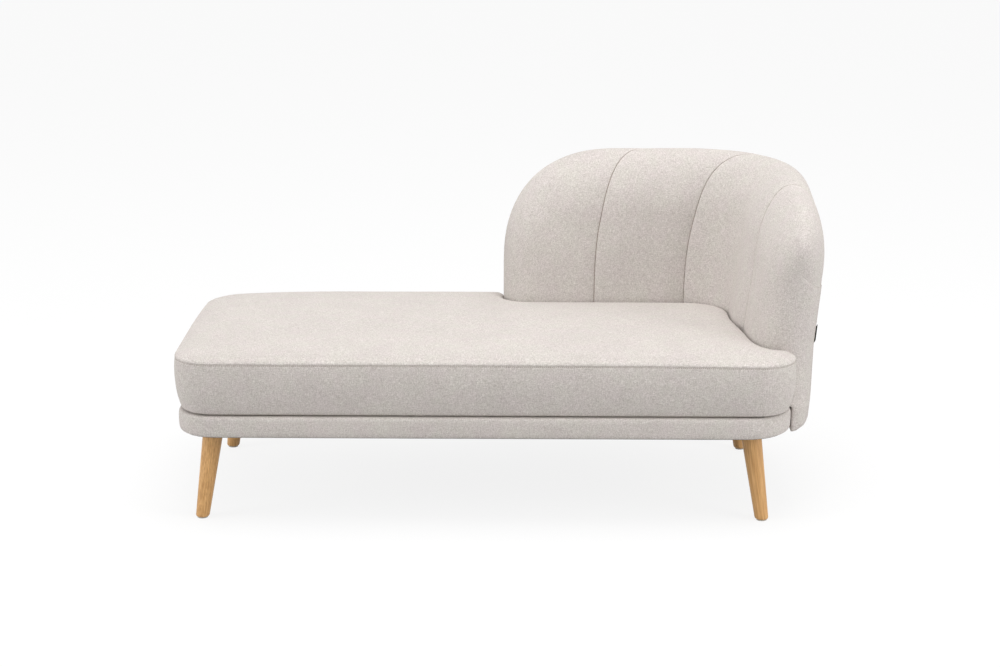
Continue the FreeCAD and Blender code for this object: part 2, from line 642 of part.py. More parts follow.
BACK_X = BASE_LEFT + size("back_left")
CORNER = size("corner_back")
REAR_RUN = BASE_RIGHT - CORNER - BACK_X
CORNER_RUN = CORNER * math.pi / 2
END_RUN = size("seat_depth") - CORNER - size("back_front")
BACK_RUN = REAR_RUN + CORNER_RUN + END_RUN
CORNER_MIDDLE = Vector(BASE_RIGHT - CORNER, BASE_REAR - CORNER, 0)


def station(along):
    """Point on the base face and the outward direction there."""
    if along <= REAR_RUN:
        return Vector(BACK_X + along, BASE_REAR, 0), Vector(0, 1, 0)
    if along >= REAR_RUN + CORNER_RUN:
        y = BASE_REAR - CORNER - (along - REAR_RUN - CORNER_RUN)
        return Vector(BASE_RIGHT, y, 0), Vector(1, 0, 0)
    swing = (along - REAR_RUN) / CORNER
    outward = Vector(math.sin(swing), math.cos(swing), 0)
    return CORNER_MIDDLE + outward * CORNER, outward


def fall(distance, run, drop):
    """How far a rounded upper corner has dropped, this far from its end."""
    if distance >= run:
        return 0.0
    power = size("fall_power")
    rest = 1 - max(distance, 0.0) / run
    return drop * (1 - (1 - rest ** power) ** (1 / power))


def end_share(distance, run):
    """Share of the full thickness, in a half-round end."""
    if distance >= run:
        return 1.0
    return math.sqrt(max(0.0, 1 - (1 - max(distance, 0.0) / run) ** 2))


def lean_between(height, low_height, high_height, low_value, high_value):
    share = (height - low_height) / (high_height - low_height)
    return low_value + (high_value - low_value) * share


def back_profile(along, inset):
    """Sizes of the backrest's section: its two faces as functions, and its top."""
    top = size("back_top") - inset
    top -= fall(along, size("left_fall_run"), size("left_fall"))
    top -= fall(BACK_RUN - along, size("right_fall_run"), size("right_fall"))
    share = end_share(along - inset, size("left_end_round"))
    share *= end_share(BACK_RUN - along - inset, size("right_end_round"))
    share = max(share, 0.08)
    roll = (size("roll_height") - inset) * min(1.0, share + 0.15)

    def faces(height):
        inner = -size("inner_low")
        if height > size("pad_low"):
            inner = lean_between(height, size("pad_low"), size("pad_high"),
                                 -size("inner_low"), -size("inner_high"))
        outer = lean_between(height, size("back_bottom"), size("pad_high"),
                             size("outer_low"), size("outer_high"))
        middle = (inner + outer) / 2
        half = ((outer - inner) / 2 - inset) * share
        return middle, half

    return top, roll, faces


def place_points(along, pairs):
    origin, outward = station(along)
    return [origin + outward * reach + Vector(0, 0, height) for reach, height in pairs]


def pad_section(along, inset, bottom):
    """Upper pad: two leaning faces under a rolled top of four arcs."""
    top, roll, faces = back_profile(along, inset)
    spring = top - roll
    middle, half = faces(spring)
    lean_step = (faces(spring + 1)[0] - middle)
    low_middle, low_half = faces(bottom)
    bend_middle, bend_half = faces(size("pad_low"))
    arc_pairs = []
    for step in range(9):
        angle = math.pi * step / 8
        height = spring + roll * math.sin(angle)
        shift = middle + lean_step * (height - spring)
        arc_pairs.append((shift + half * math.cos(angle), height))
    arcs = place_points(along, arc_pairs)
    foot_out, foot_in, bend_in = place_points(along, [
        (low_middle + low_half, bottom), (low_middle - low_half, bottom),
        (bend_middle - bend_half, size("pad_low"))])
    edges = [Part.LineSegment(foot_out, arcs[0]).toShape()]
    for step in range(0, 8, 2):
        edges.append(Part.Arc(*arcs[step:step + 3]).toShape())
    edges.append(Part.LineSegment(arcs[8], bend_in).toShape())
    edges.append(Part.LineSegment(bend_in, foot_in).toShape())
    edges.append(Part.LineSegment(foot_in, foot_out).toShape())
    return Part.Wire(edges)


def skirt_section(along, inset, top, nearest, thinnest):
    """Lower part outside the base: a thin apron with a rounded lower edge.

    It runs from a plane near the base face outwards, and at the rounded ends it
    thins out towards that face."""
    _, _, faces = back_profile(along, inset)
    bottom = size("back_bottom") + inset

    def outer(height):
        middle, half = faces(height)
        return max(middle + half, thinnest)

    curve = min(size("back_edge_round") - inset / 2, (outer(bottom) - nearest) * 0.7)
    flat = curve * math.sqrt(0.5)
    pairs = [(nearest, bottom), (outer(bottom) - curve, bottom),
             (outer(bottom) - curve + flat, bottom + curve - flat),
             (outer(bottom + curve), bottom + curve), (outer(top), top), (nearest, top)]
    points = place_points(along, pairs)
    edges = [Part.LineSegment(points[0], points[1]).toShape(),
             Part.Arc(points[1], points[2], points[3]).toShape(),
             Part.LineSegment(points[3], points[4]).toShape(),
             Part.LineSegment(points[4], points[5]).toShape(),
             Part.LineSegment(points[5], points[0]).toShape()]
    return Part.Wire(edges)


def loft(wires):
    solid = Part.makeLoft(wires, True, False)
    if solid.Volume < 0:
        solid.reverse()
    return solid


LEFT_STEPS = [1.5, 8, 22, 44, 66, 100, 150, 210, 289]
RIGHT_STEPS = [1.5, 9, 25, 50, 85, 131, 200, 280]


def back_stations(inset):
    """Stations that follow both rounded ends, the straight runs and the corner."""
    places = [inset + step for step in LEFT_STEPS]
    places += [370.0, REAR_RUN]
    places += [REAR_RUN + CORNER_RUN * step / 4 for step in (1, 2, 3, 4)]
    places += [BACK_RUN - inset - step for step in reversed(RIGHT_STEPS)]
    return places


def back_form(inset, nearest, thinnest):
    """The whole backrest as one solid, drawn in evenly by an inset."""
    places = back_stations(inset)
    upper = loft([pad_section(place, inset, size("pad_bottom")) for place in places])
    lower = loft([skirt_section(place, inset, size("pad_bottom"), nearest, thinnest)
                  for place in places])
    return upper.fuse(lower)


SEAMS = [0.0, size("seam_one"), size("seam_two"), size("seam_three"), BACK_RUN]


def drawn_in(along):
    """How deep the channel seams pull the cover in at a station."""
    nearest = min(abs(along - seam) for seam in SEAMS[1:-1])
    rest = max(0.0, 1 - nearest / size("channel_run"))
    return size("channel_depth") * rest ** 2


def channel_form(first, last):
    """The backrest between two seams, with the cover drawn in at the seams."""
    run = size("channel_run")
    near = [0.0, run * 0.2, run * 0.5, run]
    places = [first + step for step in near] if first > 0 else list(LEFT_STEPS[:6])
    ends = [last - step for step in reversed(near)]
    if last >= BACK_RUN:
        ends = [BACK_RUN - step for step in reversed(RIGHT_STEPS[:6])]
    inner = [place for place in back_stations(0.0) if places[-1] + 15 < place < ends[0] - 15]
    places = places + inner + ends
    return loft([pad_section(place, drawn_in(place), size("pad_bottom")) for place in places])


# Plywood shell: two flat panels and one bent round the corner, bolted to the rails
# from outside, with uprights glued on behind the pad.

SHELL_LEFT = BACK_X + size("shell_left_inset")
SHELL_FRONT = BASE_FRONT + size("back_front") + size("shell_front_inset")
SHELL_RISE = size("shell_top") - size("shell_bottom")


def flat_panel(name, run, rise, corner, x, y, plane, far_end):
    """A flat panel with one round upper corner, drawn upright and padded."""
    body = new_body(name, x, y, cell("shell_bottom"))
    sketch = new_sketch(body, name + "_outline", plane)
    curve = size(corner)
    circle = Part.Circle(Vector(curve, rise - curve, 0), Vector(0, 0, 1), curve)
    sketch.addGeometry(Part.ArcOfCircle(circle, math.pi / 2, math.pi), False)
    corners = [Vector(curve, rise, 0), Vector(run, rise, 0), Vector(run, 0, 0),
               Vector(0, 0, 0), Vector(0, rise - curve, 0)]
    for start, end in zip(corners, corners[1:]):
        sketch.addGeometry(Part.LineSegment(start, end), False)
    for index in range(1, 4):
        sketch.addConstraint(Sketcher.Constraint("Coincident", index, 2, index + 1, 1))
    for index, direction in ((1, "Horizontal"), (2, "Vertical"), (3, "Horizontal"),
                             (4, "Vertical")):
        sketch.addConstraint(Sketcher.Constraint(direction, index))
    sketch.addConstraint(Sketcher.Constraint("Tangent", 0, 1, 1, 1))
    sketch.addConstraint(Sketcher.Constraint("Tangent", 0, 2, 4, 2))
    sketch.addConstraint(Sketcher.Constraint("Coincident", 3, 2, -1, 1))
    bind(sketch, "Radius", (0,), cell(corner), curve)
    bind(sketch, "DistanceX", (-1, 1, 2, 2), far_end, run)
    bind(sketch, "DistanceY", (2, 2, 2, 1),
         f"{cell('shell_top')} - {cell('shell_bottom')}", rise)
    feature = pad(body, sketch, cell("shell_thickness"), name + "_pad")
    feature.Reversed = plane == "XZ_Plane"
    return body


rear_panel = flat_panel(
    "back_panel_rear_board", CORNER_MIDDLE.x - SHELL_LEFT, SHELL_RISE, "shell_left_round",
    f"{LEFT_CELL} + {cell('back_left')} + {cell('shell_left_inset')}",
    f"{REAR_CELL} + {cell('shell_gap')}", "XZ_Plane",
    f"{cell('seat_length')} - {cell('corner_back')} - {cell('back_left')}"
    f" - {cell('shell_left_inset')}")
bored("back_panel_rear", rear_panel, bolt_bores[:3])
end_panel = flat_panel(
    "back_panel_end_board", CORNER_MIDDLE.y - SHELL_FRONT, SHELL_RISE, "shell_front_round",
    f"{RIGHT_CELL} + {cell('shell_gap')}",
    f"{FRONT_CELL} + {cell('back_front')} + {cell('shell_front_inset')}", "YZ_Plane",
    f"{cell('seat_depth')} - {cell('corner_back')} - {cell('back_front')}"
    f" - {cell('shell_front_inset')}")
bored("back_panel_end", end_panel, bolt_bores[3:])

bend = new_body("back_panel_corner", f"{RIGHT_CELL} - {cell('corner_back')}",
                f"{REAR_CELL} - {cell('corner_back')}", cell("shell_bottom"))
edge_on = new_sketch(bend, "back_panel_corner_outline", "XZ_Plane")
near_edge, far_edge = CORNER + size("shell_gap"), CORNER + shell_outside
upright = [Vector(near_edge, 0, 0), Vector(far_edge, 0, 0), Vector(far_edge, SHELL_RISE, 0),
           Vector(near_edge, SHELL_RISE, 0)]
for index in range(4):
    edge_on.addGeometry(Part.LineSegment(upright[index], upright[(index + 1) % 4]), False)
for index in range(4):
    edge_on.addConstraint(Sketcher.Constraint("Coincident", index, 2, (index + 1) % 4, 1))
for index, direction in enumerate(("Horizontal", "Vertical", "Horizontal", "Vertical")):
    edge_on.addConstraint(Sketcher.Constraint(direction, index))
edge_on.addConstraint(Sketcher.Constraint("PointOnObject", 0, 1, -1))
bind(edge_on, "DistanceX", (-1, 1, 0, 1),
     f"{cell('corner_back')} + {cell('shell_gap')}", near_edge)
bind(edge_on, "DistanceX", (0, 1, 0, 2), cell("shell_thickness"), size("shell_thickness"))
bind(edge_on, "DistanceY", (1, 1, 1, 2),
     f"{cell('shell_top')} - {cell('shell_bottom')}", SHELL_RISE)
turned = bend.newObject("PartDesign::Revolution", "back_panel_corner_bend")
turned.Profile = edge_on
turned.ReferenceAxis = (edge_on, ["V_Axis"])
turned.Angle = 90
doc.recompute()
if turned.Shape.BoundBox.YMin < -1:
    turned.Reversed = True
keep("back_panel_corner", bend)
doc.recompute()


def shell_edge(along):
    """Height of the shell's upper edge at a station."""
    drop = 0.0
    for distance, corner in ((along - size("shell_left_inset"), "shell_left_round"),
                             (BACK_RUN - along - size("shell_front_inset"),
                              "shell_front_round")):
        curve = size(corner)
        if distance < curve:
            rest = curve - max(distance, 0.0)
            drop += curve - math.sqrt(curve ** 2 - rest ** 2)
    return size("shell_top") - drop


POST_PLACES = [105.0, 270.0, REAR_RUN, REAR_RUN + CORNER_RUN, BACK_RUN - 190.0,
               BACK_RUN - 95.0]
post_shapes = []
for number, place in enumerate(POST_PLACES, start=1):
    origin, outward = station(place)
    half_width = size("post_width") / 2
    post = doc.addObject("Part::Box", f"back_post_{number}")
    post.Length = size("post_width")
    post.Width = size("post_thickness")
    lower_side = min(shell_edge(place - half_width), shell_edge(place + half_width))
    post.Height = lower_side - size("post_drop") - size("post_bottom")
    turn = Rotation(Vector(0, 0, 1), math.degrees(math.atan2(outward.y, outward.x)) - 90)
    corner = Vector(-half_width, size("shell_gap") - size("post_thickness"), 0)
    start = origin + turn.multVec(corner) + Vector(0, 0, size("post_bottom"))
    post.Placement = Placement(start, turn)
    keep(f"back_post_{number}", post)
doc.recompute()
for number in (3, 4):
    post = nodes[f"back_post_{number}"]
    trimmed = doc.addObject("Part::Cut", f"back_post_{number}_trimmed")
    trimmed.Base = post
    trimmed.Tool = bend
    keep(f"back_post_{number}", trimmed)
    post.Label = f"back_post_{number}_blank"
doc.recompute()

# Backrest cover: four quilted channels inside and over the roll, one outer panel
quilt = size("quilt_skin")
lining = back_form(quilt, 1.0, 4.0)
smooth = back_form(0.0, 2.0, 4.5)
outer_plan = prism(base_plan(-1.5, size("back_bottom") - 5),
                   size("outer_joint") - size("back_bottom") + 5)
reach = Part.makeBox(BACK_RUN, BACK_RUN, size("outer_joint") - size("back_bottom") + 5,
                     Vector(BACK_X + size("outer_left_edge"),
                            BASE_FRONT + size("back_front") + size("outer_front_edge"),
                            size("back_bottom") - 5))
below_deck = slab(size("back_bottom") - 5, size("pad_bottom"))
outer_zone = reach.cut(outer_plan).fuse(below_deck)
outer_cover = smooth.cut(lining).common(outer_zone)
for seam_index in range(4):
    first, last = SEAMS[seam_index], SEAMS[seam_index + 1]
    channel = channel_form(first, last)
    keep_shape(f"back_cover_channel_{seam_index + 1}",
               channel.cut(lining).cut(outer_zone))
keep_shape("back_cover_outer", outer_cover)

# Foam inside the cover, moulded round the shell and its uprights
foam = back_form(quilt + size("soft_gap"), 3.0, 3.6)
rigid = [nodes[f"back_post_{number}"].Shape for number in range(1, 7)]
rigid += [nodes[name].Shape for name in ("back_panel_rear", "back_panel_end")]
rigid += [bend.Shape]
rigid += [room.Shape for room in head_rooms] + [bore.Shape for bore in bolt_bores]
for shape in rigid:
    foam = foam.cut(shape)
keep_shape("back_foam", foam)

# Seat cushion: a crowned top on a border that swells and draws in again below

# heights, and how far the outline stands out from the base there
swell = size("seat_bulge") - 0.6
BORDER = [(size("cushion_bottom"), -9), (284, -3), (310, 3), (340, swell), (370, swell),
          (size("seam_height"), 3)]
CROWN = [(size("seam_height"), 3), (401, -1), (408, -9), (412, -24), (415, -60),
         (417.5, -130), (size("crown_height"), -210)]


def cushion_plan(reach_out, height):
    radius = max(size("cushion_radius") + reach_out, 22)
    return rounded_plan(BASE_LEFT - reach_out, BASE_FRONT - reach_out,
                        BASE_RIGHT + reach_out, BASE_REAR + reach_out,
                        [radius] * 4, height)


def border_form(inset, grow):
    """The cushion's side, from its underside to the top seam."""
    return loft([cushion_plan(reach_out - inset, height + grow * (height > 380))
                 for height, reach_out in BORDER])


def crown_form(inset):
    """The cushion's top, from the seam to the highest point."""
    wires = []
    for height, reach_out in CROWN:
        wires.append(cushion_plan(reach_out - inset, height - inset * (height > 391)))
    return loft(wires)


def notch_form(clear):
    """Room for the backrest, cut from the cushion's rear and right sides."""
    inner = size("inner_low") + clear
    left = BACK_X - clear
    rear_line = BASE_REAR - inner
    right_line = BASE_RIGHT - inner
    end_curve = size("left_end_round") + 4
    corner = CORNER - inner
    tip_y = BASE_FRONT + size("back_front") - clear - 1
    tip_x = BASE_RIGHT - (size("inner_low") - size("outer_low") - 14) / 2
    wing = size("right_end_round")
    slant = 1 - math.sqrt(0.5)
    wing_points = []
    for step in range(5):
        swing = math.radians(22.5 * step)
        wing_points.append(Vector(tip_x - (tip_x - right_line) * math.cos(swing),
                                  tip_y + wing * (1 - math.sin(swing)), 0))
    base = Vector(0, 0, size("cushion_bottom") - 20)
    points = [
        Vector(left, BASE_REAR + 200, 0), Vector(left, rear_line + end_curve, 0),
        Vector(left + end_curve * slant, rear_line + end_curve * slant, 0),
        Vector(left + end_curve, rear_line, 0),
        Vector(CORNER_MIDDLE.x, rear_line, 0),
        CORNER_MIDDLE + Vector(corner, corner, 0) * math.sqrt(0.5),
        Vector(right_line, CORNER_MIDDLE.y, 0),
        *wing_points,
        Vector(BASE_RIGHT + 40, tip_y - 34, 0),
        Vector(BASE_RIGHT + 300, tip_y - 34, 0), Vector(BASE_RIGHT + 300, BASE_REAR + 200, 0),
    ]
    points = [point + base for point in points]
    arcs = (1, 4, 7, 9)
    edges = []
    index = 0
    while index < len(points):
        if index in arcs:
            edges.append(Part.Arc(*points[index:index + 3]).toShape())
            index += 2
        else:
            following = points[(index + 1) % len(points)]
            edges.append(Part.LineSegment(points[index], following).toShape())
            index += 1
    return prism(Part.Wire(edges), 300)


skin, gap = size("cover_skin"), size("soft_gap")
notch = notch_form(size("notch_gap"))
lining_notch = notch_form(size("notch_gap") + skin)
foam_notch = notch_form(size("notch_gap") + skin + gap)
floor_height = size("cushion_bottom") + skin
above = slab(floor_height, size("crown_height") + 50)
border = border_form(0, 0).cut(notch).cut(border_form(skin, 1).cut(lining_notch))
keep_shape("seat_cover_border", border.common(above))
top_cover = crown_form(0).cut(notch).cut(crown_form(skin).cut(lining_notch))
keep_shape("seat_cover_top", top_cover)
bottom_cover = border_form(0, 0).cut(notch).common(
    slab(size("cushion_bottom"), floor_height - 0.1))
keep_shape("seat_cover_bottom", bottom_cover)
core = border_form(skin + gap, 0).fuse(crown_form(skin + gap)).cut(foam_notch)
keep_shape("seat_foam", core.common(slab(floor_height + 0.3, size("crown_height") + 50)))

# Plain folded tag, sewn into the seam near the wing's end and lying back from it


def cover_point(along, height):
    """Point on the outer cover."""
    origin, outward = station(along)
    middle, half = back_profile(along, 0.0)[2](height)
    return origin + outward * (middle + half) + Vector(0, 0, height)


seam_along = BACK_RUN - size("outer_front_edge")
tag_foot = cover_point(seam_along, size("tag_middle"))
tag_run = cover_point(seam_along - size("tag_width"), size("tag_middle")) - tag_foot
off_cover = tag_run.cross(Vector(0, 0, 1)).normalize()
tag_run = (tag_run + off_cover * size("tag_stand")).normalize()
lean_out = (cover_point(seam_along, size("tag_middle") + 1) - tag_foot).normalize()
tag_up = (lean_out - tag_run * lean_out.dot(tag_run)).normalize()
tag = doc.addObject("Part::Box", "side_tag")
tag.setExpression("Length", cell("tag_width"))
tag.setExpression("Width", cell("tag_thickness"))
tag.setExpression("Height", cell("tag_height"))
tag_clear = size("tag_gap") + size("tag_thickness")
tag.Placement = Placement(
    tag_foot + off_cover * tag_clear - tag_up * size("tag_height") / 2,
    Rotation(tag_run, tag_up.cross(tag_run), tag_up, "XZY"))
keep("side_tag", tag)

doc.recompute()
problems = []
for thing in doc.Objects:
    if "Invalid" in thing.State or "Error" in thing.State:
        problems.append(f"{thing.Label}: {thing.State}")
for name, thing in nodes.items():
    if thing.Shape.isNull() or not thing.Shape.isValid() or not thing.Shape.Solids:
        problems.append(f"{name}: no valid solid")
if problems:
    raise SystemExit("failed: " + "; ".join(problems))

os.makedirs("parts", exist_ok=True)
whole = FreeCAD.BoundBox()
for name, thing in nodes.items():
    whole.add(thing.Shape.BoundBox)
    thing.Shape.exportStep(f"parts/{name}.step")
print(len(nodes), "nodes", whole)
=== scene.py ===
"""A chaise longue with a low backrest that wraps from the rear edge round one end."""

import math

import bmesh
import bpy
import numpy as np
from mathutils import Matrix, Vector, noise
from mathutils.bvhtree import BVHTree
from mathutils.geometry import delaunay_2d_cdt


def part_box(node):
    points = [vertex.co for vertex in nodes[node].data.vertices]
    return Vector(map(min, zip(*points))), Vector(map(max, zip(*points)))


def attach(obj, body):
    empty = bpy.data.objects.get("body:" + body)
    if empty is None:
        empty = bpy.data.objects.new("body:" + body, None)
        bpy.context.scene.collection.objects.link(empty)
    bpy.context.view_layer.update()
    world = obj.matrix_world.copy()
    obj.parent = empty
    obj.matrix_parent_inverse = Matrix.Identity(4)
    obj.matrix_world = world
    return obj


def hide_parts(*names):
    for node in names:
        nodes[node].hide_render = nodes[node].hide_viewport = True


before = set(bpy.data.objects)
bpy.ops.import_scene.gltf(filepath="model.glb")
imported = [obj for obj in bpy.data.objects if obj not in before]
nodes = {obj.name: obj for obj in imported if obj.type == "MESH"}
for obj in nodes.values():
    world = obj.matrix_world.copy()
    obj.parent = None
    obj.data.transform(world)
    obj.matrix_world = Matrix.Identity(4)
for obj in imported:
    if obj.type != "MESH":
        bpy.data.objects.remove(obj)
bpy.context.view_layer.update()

# View: a camera some five metres in front, a little above a standing eye, looking down
# on the piece as the photograph does.
scene = bpy.context.scene
scene.view_settings.view_transform = "Standard"
EYE = Vector((0.0606, -4.8987, 1.7013))
LOOK_DOWN = math.radians(15.275)
LOOK_LEFT = math.radians(0.79)
PICTURE_WIDTH = 1000
FOCAL_PIXELS = 2100
camera = bpy.data.objects.new("camera", bpy.data.cameras.new("camera"))
camera.data.sensor_width = 36
camera.data.lens = FOCAL_PIXELS / PICTURE_WIDTH * camera.data.sensor_width
camera.location = EYE
camera.rotation_euler = (math.pi / 2 - LOOK_DOWN, 0, LOOK_LEFT)
scene.collection.objects.link(camera)
scene.camera = camera


# Legs: turned oak cones, oiled, with the grain along each leg. They splay towards their
# own corner and screw into steel plates; a nylon glide is pinned under each.
class Field:
    """One output of a shader node. Arithmetic on it adds Math nodes."""

    def __init__(self, tree, socket=None):
        self.tree = tree
        self.socket = socket

    def node(self, kind, settings=None, inputs=None, output=0):
        """Any other node: its settings first, then its sockets' values or links."""
        made = self.tree.nodes.new(kind)
        for name, value in (settings or {}).items():
            if name == "stops":
                for stop, (place, colour) in zip(made.color_ramp.elements, value):
                    stop.position = place
                    stop.color = (*colour, 1)
            else:
                setattr(made, name, value)
        for name, value in (inputs or {}).items():
            if isinstance(value, Field):
                self.tree.links.new(value.socket, made.inputs[name])
            else:
                made.inputs[name].default_value = value
        return Field(self.tree, made.outputs[output])

    def math(self, operation, *values):
        settings = {"operation": operation}
        return self.node("ShaderNodeMath", settings, dict(enumerate(values)))

    def __add__(self, other):
        return self.math("ADD", self, other)

    def __rsub__(self, other):
        return self.math("SUBTRACT", other, self)

    def __mul__(self, other):
        return self.math("MULTIPLY", self, other)

    def place(self, source, scale=(1, 1, 1), turn=(0, 0, 0)):
        """Coordinates from Texture Coordinate, scaled and turned."""
        start = self.node("ShaderNodeTexCoord", output=source)
        return start.node("ShaderNodeMapping", None,
                          {"Vector": start, "Scale": scale, "Rotation": turn})

    def grain(self, scale, detail=2, roughness=0.5):
        """Noise at this place, from 0 to 1."""
        return self.node("ShaderNodeTexNoise", None, {
            "Vector": self, "Scale": scale, "Detail": detail, "Roughness": roughness})

    def tint(self, first, last, low=0.0, high=1.0):
        """A colour between two, as this value goes from low to high."""
        stops = [(low, first), (high, last)]
        return self.node("ShaderNodeValToRGB", {"stops": stops}, {"Fac": self})

    def over(self, below, share):
        """This colour multiplied into another, by a share."""
        return self.node("ShaderNodeMix", {"data_type": "RGBA", "blend_type": "MULTIPLY"},
                         {0: share, 6: below, 7: self}, output=2)

    def relief(self, depth, strength):
        """A normal from this height, in metres of depth."""
        return self.node("ShaderNodeBump", None, {
            "Height": self, "Distance": depth, "Strength": strength})


def finish(name, roughness, **constants):
    """A material, its shader and a field to build on."""
    material = bpy.data.materials.new(name)
    material.use_nodes = True
    shader = material.node_tree.nodes["Principled BSDF"]
    shader.inputs["Roughness"].default_value = roughness
    for socket, value in constants.items():
        shader.inputs[socket.replace("_", " ")].default_value = value
    return material, shader, Field(material.node_tree)


def feed(shader, **fields):
    """Join fields to the shader's sockets."""
    for socket, field in fields.items():
        field.tree.links.new(field.socket, shader.inputs[socket.replace("_", " ")])


def dress(material, names):
    """Give CAD nodes their finish."""
    for name in names:
        nodes[name].data.materials.clear()
        nodes[name].data.materials.append(material)


LEG_LEAN = 0.1405
CORNERS = ("front_left", "front_right", "rear_left", "rear_right")
oak, oak_shader, field = finish("oiled_oak", 0.42, Specular_IOR_Level=0.45)
spot = field.node("ShaderNodeSeparateXYZ", None, {"Vector": field.place("Object")})
across_x, across_y, up = (Field(spot.tree, spot.socket.node.outputs[i]) for i in range(3))
straight_x = field.math("ABSOLUTE", across_x) + up * LEG_LEAN
straight_y = field.math("ABSOLUTE", across_y) + up * LEG_LEAN
along_leg = field.node("ShaderNodeCombineXYZ", None, {
    0: straight_x, 1: straight_y, 2: up * 0.06 + across_x * 0.9 + across_y * 0.5})
fibre = along_leg.grain(420, 4, 0.6)
ring_wander = along_leg.grain(30)
rings = field.math("SINE", (straight_x * 1.0 + straight_y * 0.45 + ring_wander * 0.02) * 900)
band = along_leg.grain(70, 3, 0.55)
wood = fibre.tint((0.50, 0.262, 0.088), (0.84, 0.515, 0.225), 0.28, 0.70)
late = rings * 0.5 + 0.5
wood = late.tint((0.80, 0.74, 0.66), (1.0, 1.0, 1.0), 0.05, 0.75).over(wood, 0.55)
wood = band.tint((0.86, 0.80, 0.72), (1.08, 1.06, 1.04), 0.32, 0.68).over(wood, 0.7)
feed(oak_shader, Base_Color=wood, Roughness=fibre * 0.25 + 0.34,
     Normal=(fibre + rings * 0.12).relief(0.00025, 0.35))
dress(oak, [f"leg_{corner}" for corner in CORNERS])

nylon, nylon_shader, field = finish("moulded_nylon", 0.5, Subsurface_Weight=0.05)
moulded = field.place("Object").grain(900)
feed(nylon_shader, Base_Color=moulded.tint((0.46, 0.44, 0.39), (0.60, 0.58, 0.53)),
     Normal=moulded.relief(0.0001, 0.4))
dress(nylon, [f"foot_glide_{corner}" for corner in CORNERS])

# Steel fixings: zinc-plated plates, hanger bolts, screws, frame bolts, washers and tee
# nuts, dull from the plating drum.
zinc, zinc_shader, field = finish("zinc_plate", 0.42, Metallic=0.95)
drum = field.place("Object").grain(160, 4, 0.65)
scuff = field.place("Object", (1, 1, 6)).grain(1400)
feed(zinc_shader, Base_Color=drum.tint((0.42, 0.43, 0.44), (0.66, 0.67, 0.69), 0.3, 0.7),
     Roughness=scuff * 0.35 + 0.26, Normal=scuff.relief(0.00005, 0.4))
steel_names = [f"leg_plate_{corner}" for corner in CORNERS]
steel_names += ["hanger_bolts", "plate_screws", "frame_bolts", "frame_washers"]
steel_names += ["frame_tee_nuts"]
dress(zinc, steel_names)


# Box base and uprights: planed softwood boards, corner blocks and beech dowels, glued.
# The backrest's shell is birch plywood, two flat panels and one bent round the corner.
def softwood(name, stretch):
    """Planed softwood with its growth lines along the board."""
    material, shader, start = finish(name, 0.62)
    board = start.place("Object", stretch)
    wander = board.grain(9)
    growth = board.grain(70, 3, 0.5) + wander * 0.35
    colour = growth.tint((0.50, 0.31, 0.14), (0.80, 0.62, 0.38), 0.42, 0.86)
    feed(shader, Base_Color=colour, Roughness=growth * 0.2 + 0.48,
         Normal=growth.relief(0.0003, 0.4))
    return material


lengthwise = softwood("softwood_lengthwise", (0.06, 1, 1))
crosswise = softwood("softwood_crosswise", (1, 0.06, 1))
upright = softwood("softwood_upright", (1, 1, 0.06))
block_names = [f"corner_block_{corner}" for corner in CORNERS]
dress(lengthwise, ["front_rail", "rear_rail", *block_names])
dress(crosswise,
      ["left_end_rail", "right_end_rail", "cross_rail_1", "cross_rail_2"])
dress(upright, [f"back_post_{number}" for number in range(1, 7)])

beech, beech_shader, field = finish("fluted_beech", 0.6)
fleck = field.place("Object").grain(260, 3)
feed(beech_shader, Base_Color=fleck.tint((0.50, 0.30, 0.16), (0.68, 0.46, 0.27), 0.3, 0.7),
     Normal=fleck.relief(0.0002, 0.4))
dress(beech, ["rail_dowels"])

birch, birch_shader, field = finish("birch_plywood", 0.55)
face = field.place("Object", (1, 1, 0.08)).grain(110, 4, 0.6)
cloud = field.place("Object").grain(14)
ply = face.tint((0.58, 0.41, 0.23), (0.78, 0.61, 0.40), 0.3, 0.72)
ply = cloud.tint((0.9, 0.86, 0.8), (1.0, 1.0, 1.0), 0.3, 0.7).over(ply, 0.6)
feed(birch_shader, Base_Color=ply, Normal=face.relief(0.0002, 0.35))
dress(birch, ["back_panel_rear", "back_panel_corner", "back_panel_end"])


# Base plan: the box base is a rectangle with rounded corners, the widest one where the
# backrest wraps round. Bands, straps and cloths below all follow this outline.
base_low, base_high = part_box("base_cover")
LEFT, FRONT = base_low.x, base_low.y
RIGHT, REAR = base_high.x, base_high.y
BASE_BOTTOM, BASE_TOP = base_low.z, base_high.z
CORNER_LEFT = 0.093
CORNER_FRONT = 0.115
CORNER_BACK = 0.220


def arc(centre, radius, start, end, count):
    """Points and outward directions on an arc, angles in degrees."""
    swings = np.radians(np.linspace(start, end, count))
    outward = np.stack([np.cos(swings), np.sin(swings)], 1)
    return np.array(centre) + outward * np.array(radius), outward


def filled_in(points, step):
    """Places along a closed line: the point before each, the share past it, the place."""
    for index, point in enumerate(points):
        following = points[(index + 1) % len(points)]
        pieces = max(1, round(np.linalg.norm(following - point) / step))
        for piece in range(pieces):
            share = piece / pieces
            yield index, share, point + (following - point) * share


def base_outline(inset, step):
    """Points round the base, from the front left, and the outward direction at each."""
    points, outwards = [], []
    for x, y, inward_x, inward_y, radius, start in (
            (LEFT, FRONT, 1, 1, CORNER_LEFT, 180), (RIGHT, FRONT, -1, 1, CORNER_FRONT, 270),
            (RIGHT, REAR, -1, -1, CORNER_BACK, 0), (LEFT, REAR, 1, -1, CORNER_LEFT, 90)):
        centre = (x + inward_x * radius, y + inward_y * radius)
        count = max(6, round((radius - inset) * math.pi / 2 / step))
        line, directions = arc(centre, radius - inset, start, start + 90, count + 1)
        points += list(line)
        outwards += list(directions)
    places = list(filled_in(points, step))
    return (np.array([place for _, _, place in places]),
            np.array([outwards[index] for index, _, _ in places]))


